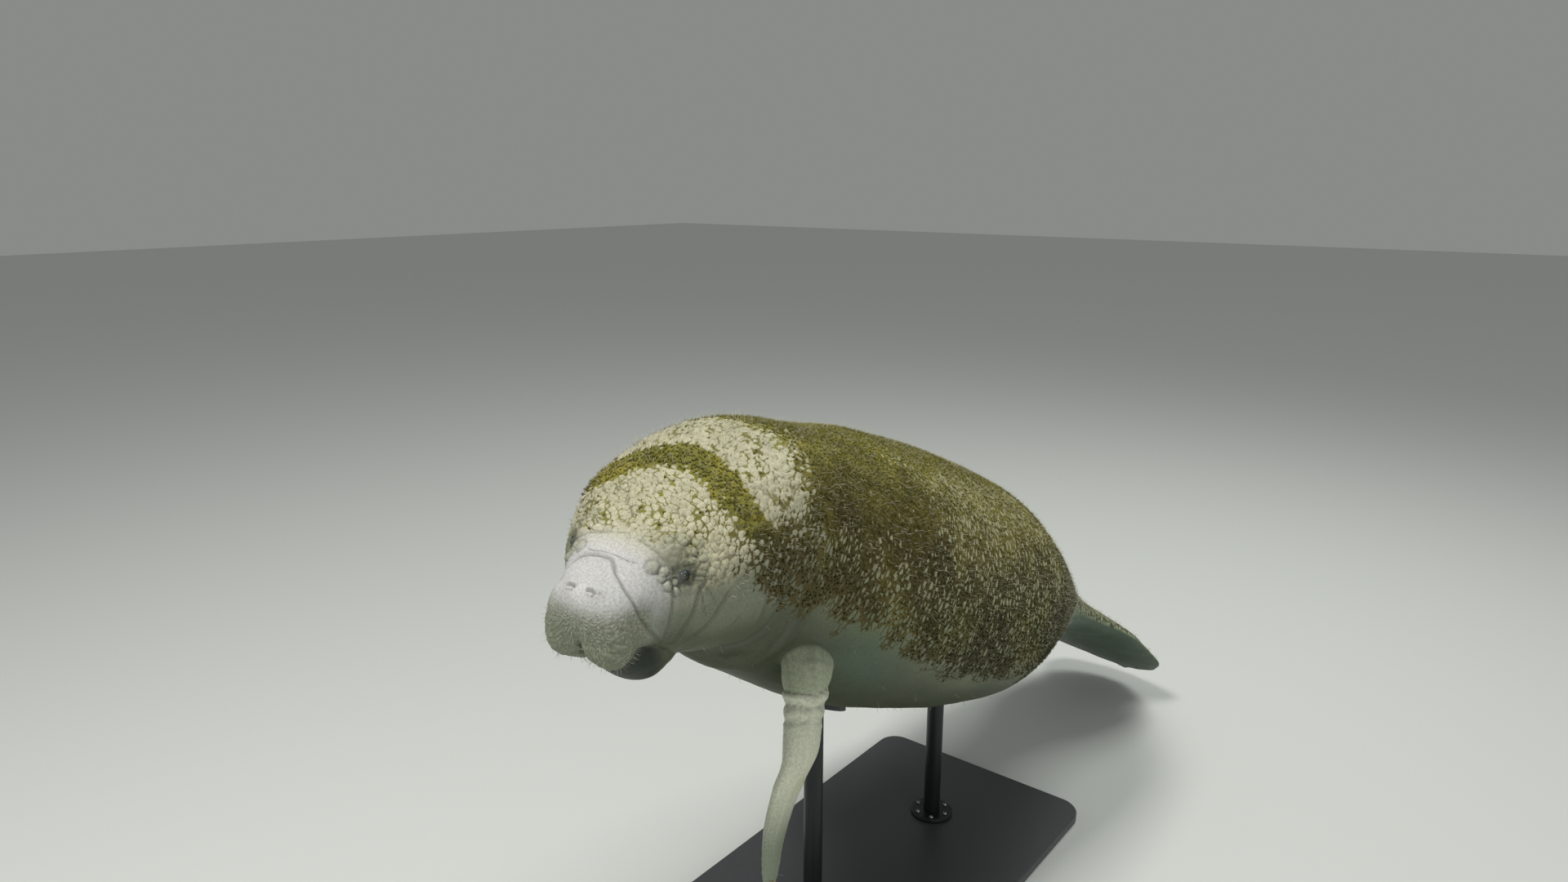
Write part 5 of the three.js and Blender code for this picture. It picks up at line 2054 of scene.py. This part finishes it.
@dataclass
class Nails:
    """A flipper's three nails: small ridged plates that lie on its outer face."""

    side: str
    flipper: FlipperForm
    places: tuple = ((0.900, 0.70), (0.938, 0.36), (0.950, -0.10))
    width: float = 0.0112
    length: float = 0.0156
    thickness: float = 0.0042
    rings: int = 14
    sides: int = 32

    def build(self) -> None:
        """Makes each nail in place of its node."""
        finish = self._material()
        for number, (share, across) in enumerate(self.places, 1):
            made = self._nail(f"horn_{self.side}_{number}", share, across)
            made.data.materials.append(finish)
            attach(made, "root")
            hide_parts(f"nail_{self.side}_{number}")

    def _nail(self, name: str, share: float, across: float) -> bpy.types.Object:
        """One nail: a lens with lengthwise ridges and a thicker tip.

        Args:
            name: The new name.
            share: Its place along the flipper.
            across: Its place across, 1 at the front edge.

        Returns:
            The nail.
        """
        rows = self.flipper.frame(np.array([share]))
        middle, along, front, outer = (row[0] for row in rows[:4])
        chord, thick = float(rows[4][0]), float(rows[5][0])
        flat = math.sqrt(1 - across * across)
        rise = thick * flat
        centre = middle + front * chord * across + outer * rise * (1 + self.flipper.front_weight * across)
        slope = unit(outer * flat + front * across * thick / chord)
        wide = unit(np.cross(slope, along))
        forth = unit(np.cross(wide, slope))
        forth = forth * np.sign(forth @ along)
        fall = np.linspace(0, math.pi, self.rings + 1)[1:-1][:, None]
        round_ = np.linspace(0, FULL_TURN, self.sides, endpoint=False)[None]
        x = np.sin(fall) * np.cos(round_)
        y = np.sin(fall) * np.sin(round_)
        z = np.broadcast_to(np.cos(fall), x.shape)
        ridges = 1 + 0.07 * np.cos(17 * x) * (z > 0)
        x, y = x * (1 - 0.14 * y), y * (1 + 0.06 * z)
        lift = z * ridges * (0.86 + 0.22 * y)
        sizes = np.array([self.width, self.length, self.thickness])
        offsets = np.stack([x, y, lift], -1).reshape(-1, 3) * sizes / 2
        poles = np.array([[0, 0, 0.46], [0, 0, -0.43]]) * self.thickness
        offsets = np.vstack([offsets, poles])
        points = centre + offsets[:, :1] * wide + offsets[:, 1:2] * forth + offsets[:, 2:] * slope
        made = closed_form(name, points[:-2].reshape(-1, self.sides, 3), points[-2:])
        keep(made.data, "tip", np.concatenate([(y.ravel() + 1) / 2, [0.5, 0.5]]))
        return made

    @staticmethod
    def _material() -> bpy.types.Material:
        """Yellowish horn, darker at its root, with fine streaks.

        Returns:
            The material.
        """
        g = Surface("horn")
        colour = g.mix(g.number("tip"), (0.23, 0.19, 0.10, 1), (0.62, 0.55, 0.38, 1))
        colour = g.mix(g.times(g.noise(g.place(), 1500.0), 0.4), colour, (0.30, 0.26, 0.17, 1))
        return g.finish({"Base Color": colour, "Roughness": 0.38})


@dataclass
class Stand:
    """The display stand: a satin charcoal board, cups and rods in powder coat, and bright flange screws."""

    screws: int = 6
    screw_circle: float = 0.046
    screw_radius: float = 0.0060
    screw_height: float = 0.0042
    flange_height: float = 0.012
    board: tuple[float, float, float] = (0.050, 0.054, 0.058)
    metal: tuple[float, float, float] = (0.022, 0.024, 0.026)

    def build(self) -> None:
        """Gives the stand's pieces their finishes."""
        board = self._finish("satin_board", self.board, 0.42, 0.0, 90.0)
        metal = self._finish("powder_coat", self.metal, 0.36, 0.55, 1400.0)
        for name, finish in (("stand_base", board), ("stand_rod_front", metal), ("stand_rod_rear", metal),
                             ("stand_cup_front", metal), ("stand_cup_rear", metal)):
            node = bpy.data.objects[name]
            for slot in node.material_slots:
                slot.material = finish
        head, steel = self._screw_head(), self._finish("screw_steel", (0.42, 0.42, 0.41), 0.30, 0.9, 2200.0)
        ring = self._ring()
        for end in ("front", "rear"):
            low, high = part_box(f"stand_rod_{end}")
            middle = ((low[0] + high[0]) / 2, (low[1] + high[1]) / 2, low[2] + self.flange_height)
            made = mesh_object(f"screws_{end}", np.array([middle]))
            ring.apply(made, {
                "Head": head, "Count": self.screws, "Radius": self.screw_circle, "Finish": steel})
            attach(made, "root")
        bpy.data.objects.remove(head)

    def _screw_head(self) -> bpy.types.Object:
        """A domed head with a hexagonal socket, which isn't shown itself.

        Returns:
            The head.
        """
        sides = 12
        rows = ((1.0, 0.0), (1.0, 0.45), (0.86, 0.80), (0.52, 1.0), (0.44, 0.96), (0.44, 0.35))
        turn = np.linspace(0, FULL_TURN, sides, endpoint=False)
        rings = np.array([[(share * math.cos(angle), share * math.sin(angle), rise) for angle in turn]
                          for share, rise in rows])
        poles = np.array([(0, 0, 0), (0, 0, rows[-1][1])])
        size = np.array([self.screw_radius, self.screw_radius, self.screw_height])
        return closed_form("screw_head", rings * size, poles * size, False)

    @staticmethod
    def _ring() -> Growth:
        """The node tree that sets heads in a ring round each of its points.

        Returns:
            The tree.
        """
        kinds = (("Head", "Object"), ("Count", "Int"), ("Radius", "Float"), ("Finish", "Material"))
        g = Growth("ring", kinds)
        inputs = {"Vertices": g.given["Count"], "Radius": g.given["Radius"]}
        ring = g.node("GeometryNodeMeshCircle", inputs).outputs[0]
        g.end(g.scatter(g.scatter(g.given["Geometry"], ring), g.shape_of("Head")))
        return g

    @staticmethod
    def _finish(name: str, colour: tuple, roughness: float, metallic: float,
                grain: float) -> bpy.types.Material:
        """A plain paint with a fine grain.

        Args:
            name: The material's name.
            colour: Its darkest colour, as linear light.
            roughness: Its mean roughness.
            metallic: How metallic it is.
            grain: The scale of the grain.

        Returns:
            The material.
        """
        g = Surface(name)
        grains = g.noise(g.place(), grain, 3.0)
        light = tuple(1.35 * part for part in colour)
        return g.finish({
            "Base Color": g.mix(grains, (*colour, 1), (*light, 1)), "Metallic": metallic,
            "Roughness": g.plus(roughness - 0.06, g.times(grains, 0.12)),
            "Normal": g.bump(grains, 0.15, 0.0004)})


@dataclass(frozen=True)
class Blade:
    """One pointed blade of a tuft, in the tuft's own directions: z along it and x away from the skin."""

    root: tuple[float, float]
    tip: tuple[float, float, float]
    thick: float


@dataclass(frozen=True)
class TuftShape:
    """A tuft of closed pointed blades, about one long."""

    name: str
    blades: tuple[Blade, ...]
    joints: int = 0
    curl: float = 0.0

    def build(self) -> bpy.types.Object:
        """Makes the tuft as an object that isn't shown itself, with how near each point is to the tip.

        Returns:
            The tuft.
        """
        points, faces, tips, wedges = [], [], [], []
        for number, blade in enumerate(self.blades):
            first = len(points)
            rows = self.joints + 1
            for row in range(rows):
                share = row / rows
                middle = self._middle(blade, share)
                for corner in range(3):
                    angle = FULL_TURN * corner / 3 + 0.5
                    width = blade.thick * (1 - 0.75 * share)
                    points.append((middle[0] + width * math.cos(angle), middle[1] + width * math.sin(angle),
                                   middle[2]))
                    tips.append(share)
                    wedges.append(number / max(len(self.blades) - 1, 1))
            points.append(blade.tip)
            tips.append(1.0)
            wedges.append(number / max(len(self.blades) - 1, 1))
            faces.append((first + 2, first + 1, first))
            for row in range(rows - 1):
                low = first + 3 * row
                for corner in range(3):
                    after = (corner + 1) % 3
                    faces.append((low + corner, low + after, low + 3 + after))
                    faces.append((low + corner, low + 3 + after, low + 3 + corner))
            top = first + 3 * (rows - 1)
            for corner in range(3):
                faces.append((top + corner, top + (corner + 1) % 3, len(points) - 1))
        made = mesh_object(self.name, np.array(points), np.array(faces), smooth=False)
        keep(made.data, "tip", np.array(tips))
        keep(made.data, "wedge", np.array(wedges))
        return made

    def _middle(self, blade: Blade, share: float) -> tuple[float, float, float]:
        """The middle of a blade at a share of its length, bent by the curl.

        Args:
            blade: The blade.
            share: The share of its length.

        Returns:
            The point.
        """
        bow = self.curl * share * (1 - share)
        return (
            blade.root[0] + (blade.tip[0] - blade.root[0]) * share + bow,
            blade.root[1] + (blade.tip[1] - blade.root[1]) * share,
            blade.tip[2] * share,
        )


@dataclass(frozen=True)
class Field:
    """One piece of the coat: what grows, how thickly, where and how it stands."""

    name: str
    density: float
    start: float
    end: float
    small: float
    large: float
    stand: float
    jitter: float
    weight: str
    cracks: float
    low_cut: float
    seed: int


class CoatTree(Growth):
    """The node tree that sets tufts over the skin along the lie of the coat."""

    sizes: tuple = ("Density", "Start", "End", "Small", "Large", "Stand", "Jitter", "Cracks", "Low Cut")
    patch: float = 0.003

    def __init__(self) -> None:
        """Makes the tree."""
        super().__init__("coat", (
            ("Tuft", "Object"), *((name, "Float") for name in self.sizes), ("Weight", "String"),
            ("Seed", "Int"), ("Finish", "Material")))
        points, normal = self._roots()
        tufts = self.scatter(points, self.shape_of("Tuft"), Rotation=self._rotation(normal),
                             Scale=self.chance(self.given["Small"], self.given["Large"]))
        mapped = self.store(tufts, "OFBake", self._patch_place(), "FLOAT2", "CORNER")
        inputs = {"Geometry": mapped, "Shade Smooth": True}
        self.end(self.node("GeometryNodeSetShadeSmooth", inputs).outputs[0])

    def store(self, geometry: object, name: str, value: object, kind: str, domain: str) -> Socket:
        """The geometry with a named attribute kept on it."""
        inputs = {"Geometry": geometry, "Name": name, "Value": value}
        return self.node("GeometryNodeStoreNamedAttribute", inputs, data_type=kind, domain=domain).outputs[0]

    def _roots(self) -> tuple[Socket, Socket]:
        """Roots over the skin, thinned by the markings, and the skin's normal at each.

        Returns:
            The roots and the normals.
        """
        given, place = self.given, self.named("place")
        inside = self.times(self.math("GREATER_THAN", place, given["Start"]),
                            self.math("LESS_THAN", place, given["End"]))
        weight = self.named(given["Weight"])
        full = self.times(given["Density"], self.math("MULTIPLY", inside, weight, clamp=True))
        inputs = {"Mesh": given["Geometry"], "Density": full, "Seed": given["Seed"]}
        spread = self.node("GeometryNodeDistributePointsOnFaces", inputs, distribute_method="RANDOM").outputs
        points = self.store(spread["Points"], "out", spread["Normal"], "FLOAT_VECTOR", "POINT")
        rest = self.named("rest", "FLOAT_VECTOR")
        cell, _ = Flecks().all_cells(self, rest, self.named("cell"), self.named("rear"))
        level = self.minus(weight, self.times(cell, given["Cracks"]))
        bare = self.math("LESS_THAN", self.plus(level, self.chance(-0.15, 0.15)), given["Low Cut"])
        inputs = {"Geometry": points, "Selection": bare}
        kept = self.node("GeometryNodeDeleteGeometry", inputs, domain="POINT").outputs[0]
        return kept, self.named("out", "FLOAT_VECTOR")

    def _rotation(self, normal: Socket) -> Socket:
        """Each tuft points along the lie, lifted off the skin, with its back to the skin.

        Args:
            normal: The skin's normal at each root.

        Returns:
            The rotation of each tuft.
        """
        lie, stand = self.named("lie", "FLOAT_VECTOR"), self.given["Stand"]
        off = self.node("ShaderNodeVectorMath", {0: lie, 1: normal}, operation="DOT_PRODUCT").outputs["Value"]
        flat = self.vectors("NORMALIZE", self.vectors("SUBTRACT", lie, self.scaled(normal, off)))
        wild = self.chance((-1, -1, -1), (1, 1, 1), "FLOAT_VECTOR")
        aim = self.vectors("ADD", self.scaled(flat, self.minus(1.0, stand)), self.scaled(normal, stand))
        aim = self.vectors("ADD", aim, self.scaled(wild, self.given["Jitter"]))
        first = self.node("FunctionNodeAlignRotationToVector", {"Vector": aim}, axis="Z").outputs[0]
        inputs = {"Rotation": first, "Vector": normal}
        return self.node("FunctionNodeAlignRotationToVector", inputs, axis="X", pivot_axis="Z").outputs[0]

    def _patch_place(self) -> Socket:
        """The root's place on the skin's own unwrap, with a small patch for the tuft round it.

        Returns:
            The place of each corner in OFBake.
        """
        leaf = self.node("ShaderNodeCombineXYZ", {
            number: self.times(self.minus(self.named(name), 0.5), self.patch)
            for number, name in enumerate(("wedge", "tip"))}).outputs[0]
        return self.vectors("ADD", self.named("unwrap", "FLOAT_VECTOR"), leaf)


@dataclass
class Coat:
    """Algae tufts, sparse body hairs and the bristles of the muzzle."""

    hide: bpy.types.Object
    algae: TuftShape = TuftShape("algae_tuft", (
        Blade((0.0, 0.0), (0.10, 0.02, 1.0), 0.085),
        Blade((0.03, 0.10), (0.26, 0.24, 0.86), 0.075),
        Blade((0.02, -0.10), (0.20, -0.26, 0.90), 0.075),
        Blade((0.10, 0.02), (0.42, -0.04, 0.70), 0.070),
    ))
    hair: TuftShape = TuftShape("hair", (Blade((0.0, 0.0), (0.16, 0.0, 1.0), 0.026),), 2, 0.30)
    bristle: TuftShape = TuftShape("bristle", (Blade((0.0, 0.0), (-0.10, 0.0, 1.0), 0.020),), 2, 0.22)
    limit: int = 200_000
    algae_edges: tuple = (0.13, 0.62, 0.84, 1.05, 1.27, 1.52, 2.05)
    hair_edges: tuple = (0.15, 1.05, 3.0)
    spent: tuple = ("rest", "cell", "cobble", "crease", "pebble", "grains", "cover", "lie", "out", "rear",
                    "hairs", "bristles", "place", "unwrap")

    def build(self) -> None:
        """Grows each piece of the coat."""
        tree = CoatTree()
        mat, hairs = self._algae_finish(), self._hair_finish()
        algae, hair, bristle = self.algae.build(), self.hair.build(), self.bristle.build()
        for number, (start, end) in enumerate(zip(self.algae_edges, self.algae_edges[1:]), 1):
            self._grow(tree, algae, mat, Field(
                name=f"algae_{number}", density=27000.0, start=start, end=end, small=0.0055, large=0.0110,
                stand=0.24, jitter=0.30, weight="cover", cracks=0.85, low_cut=0.14, seed=40 + number))
        for number, (start, end) in enumerate(zip(self.hair_edges, self.hair_edges[1:]), 1):
            self._grow(tree, hair, hairs, Field(
                name=f"hairs_{number}", density=5200.0, start=start, end=end, small=0.008, large=0.019,
                stand=0.60, jitter=0.35, weight="hairs", cracks=0.0, low_cut=0.1, seed=60 + number))
        self._grow(tree, bristle, hairs, Field(
            name="bristles", density=17000.0, start=0.0, end=0.16, small=0.005, large=0.019, stand=0.78,
            jitter=0.30, weight="bristles", cracks=0.0, low_cut=0.3, seed=65))
        for shape in (algae, hair, bristle):
            mesh = shape.data
            bpy.data.objects.remove(shape)
            bpy.data.meshes.remove(mesh)

    def _grow(self, tree: CoatTree, tuft: bpy.types.Object, finish: bpy.types.Material, piece: Field) -> None:
        """Grows one piece over the skin and keeps it as a plain mesh.

        Args:
            tree: The coat's tree.
            tuft: What grows.
            finish: Its material.
            piece: How and where it grows.
        """
        made = bpy.data.objects.new(piece.name, self.hide.data)
        bpy.context.scene.collection.objects.link(made)
        values = {key.replace("_", " ").title(): value for key, value in asdict(piece).items()}
        tree.apply(made, {"Tuft": tuft, "Finish": finish, **values})
        mesh = made.data
        mesh.name = piece.name
        for name in self.spent:
            kept = mesh.attributes.get(name)
            if kept is not None:
                mesh.attributes.remove(kept)
        if len(mesh.polygons) > self.limit:
            raise ValueError(f"{piece.name} has {len(mesh.polygons)} triangles")
        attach(made, "root")
        log.info("%s: %d triangles", piece.name, len(mesh.polygons))

    @staticmethod
    def _algae_finish() -> bpy.types.Material:
        """Algae: dark at the roots and lighter at the tips, in the skin's own markings.

        Returns:
            The material.
        """
        g = Surface("algae")
        tint = g.colour("algae_tint")
        root = g.mix(0.76, tint, (0.034, 0.029, 0.009, 1))
        bright = g.mix(0.50, tint, (0.64, 0.61, 0.33, 1))
        tip = g.mix(g.spread(g.noise(g.place(), 55.0), 0.40, 0.68), tint, bright)
        colour = g.mix(g.spread(g.number("tip"), 0.0, 0.85), root, tip)
        return g.finish({"Base Color": colour, "Roughness": 0.8, "Specular IOR Level": 0.2})

    @staticmethod
    def _hair_finish() -> bpy.types.Material:
        """Pale, slightly yellow hair.

        Returns:
            The material.
        """
        g = Surface("hair")
        colour = g.mix(g.number("tip"), (0.34, 0.32, 0.22, 1), (0.74, 0.72, 0.60, 1))
        return g.finish({"Base Color": colour, "Roughness": 0.5})


@dataclass
class Studio:
    """The plain floor, the soft lights and the camera."""

    anchor: Vector
    camera_offset: tuple[float, float, float] = (1.358, -2.087, 1.008)
    azimuth: float = 38.631
    down: float = 14.442
    lens: float = 23.52
    floor_size: float = 60.0
    light_aim: tuple[float, float, float] = (0.1, -0.4, 0.9)

    def build(self) -> None:
        """Makes the floor, lights and camera."""
        self._floor()
        self._lights()
        self._camera()

    def _camera(self) -> None:
        """The camera, at the photo's viewing angle."""
        data = bpy.data.cameras.new("camera")
        data.lens, data.sensor_width = self.lens, 36.0
        made = bpy.data.objects.new("camera", data)
        made.location = self.anchor + Vector(self.camera_offset)
        side, low = math.radians(self.azimuth), math.radians(self.down)
        towards = Vector((-math.sin(side) * math.cos(low), math.cos(side) * math.cos(low), -math.sin(low)))
        made.rotation_euler = towards.to_track_quat("-Z", "Y").to_euler()
        bpy.context.scene.collection.objects.link(made)
        bpy.context.scene.camera = made

    def _floor(self) -> None:
        """A wide pale floor."""
        half = self.floor_size / 2
        corners = np.array([(-half, -half, 0), (half, -half, 0), (half, half, 0), (-half, half, 0)], float)
        floor = mesh_object("floor", corners, np.array([[0, 1, 2, 3]]), smooth=False)
        g = Surface("pale_floor")
        floor.data.materials.append(g.finish({"Base Color": (0.72, 0.74, 0.72, 1), "Roughness": 0.9}))

    def _lights(self) -> None:
        """A large soft key from above the snout, a weaker fill, and a pale surround."""
        self._area("key", (-0.4, -3.7, 5.9), 1.1, 235.0, (1.0, 0.985, 0.94))
        self._area("fill", (5.0, -2.5, 2.2), 3.0, 42.0, (1.0, 0.99, 0.95))
        self._area("rim", (0.5, 3.0, 5.0), 2.5, 95.0, (0.97, 1.0, 0.95))
        world = bpy.data.worlds.new("studio")
        world.use_nodes = True
        world.node_tree.nodes["Background"].inputs[0].default_value = (0.84, 0.86, 0.84, 1)
        world.node_tree.nodes["Background"].inputs[1].default_value = 0.30
        bpy.context.scene.world = world
        bpy.context.scene.view_settings.view_transform = "Standard"

    def _area(self, name: str, place: tuple, size: float, power: float, colour: tuple) -> None:
        """One square light, turned to the animal.

        Args:
            name: The light's name.
            place: Where it is.
            size: Its width.
            power: Its power in watts.
            colour: Its colour.
        """
        data = bpy.data.lights.new(name, "AREA")
        data.size, data.energy, data.color = size, power, colour
        made = bpy.data.objects.new(name, data)
        made.location = place
        aim = Vector(self.light_aim) - Vector(place)
        made.rotation_euler = aim.to_track_quat("-Z", "Y").to_euler()
        bpy.context.scene.collection.objects.link(made)


def main() -> None:
    """Builds the animal and its stand in order and reports each piece."""
    logging.basicConfig(level=logging.INFO, format="%(message)s")
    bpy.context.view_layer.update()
    anchor = anchor_point()
    body = BodyForm(Spine(anchor))
    flippers = {
        Region.LEFT_FLIPPER: left_flipper(np.array(anchor)),
        Region.RIGHT_FLIPPER: right_flipper(body),
    }
    Studio(anchor).build()
    eye_centres = [np.array((low + high) / 2) for low, high in (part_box("eye_left"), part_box("eye_right"))]
    skin = Skin(body, flippers, eye_centres)
    hide = skin.build()
    skin.dress(hide)
    log.info("skin: %d faces", len(hide.data.polygons))
    for hand, node in ((1, "eye_left"), (-1, "eye_right")):
        Eye(node, hand, body).build()
    for side, region in (("left", Region.LEFT_FLIPPER), ("right", Region.RIGHT_FLIPPER)):
        Nails(side, flippers[region]).build()
    log.info("eyes and nails done")
    Stand().build()
    Coat(hide).build()


if __name__ == "__main__":
    main()
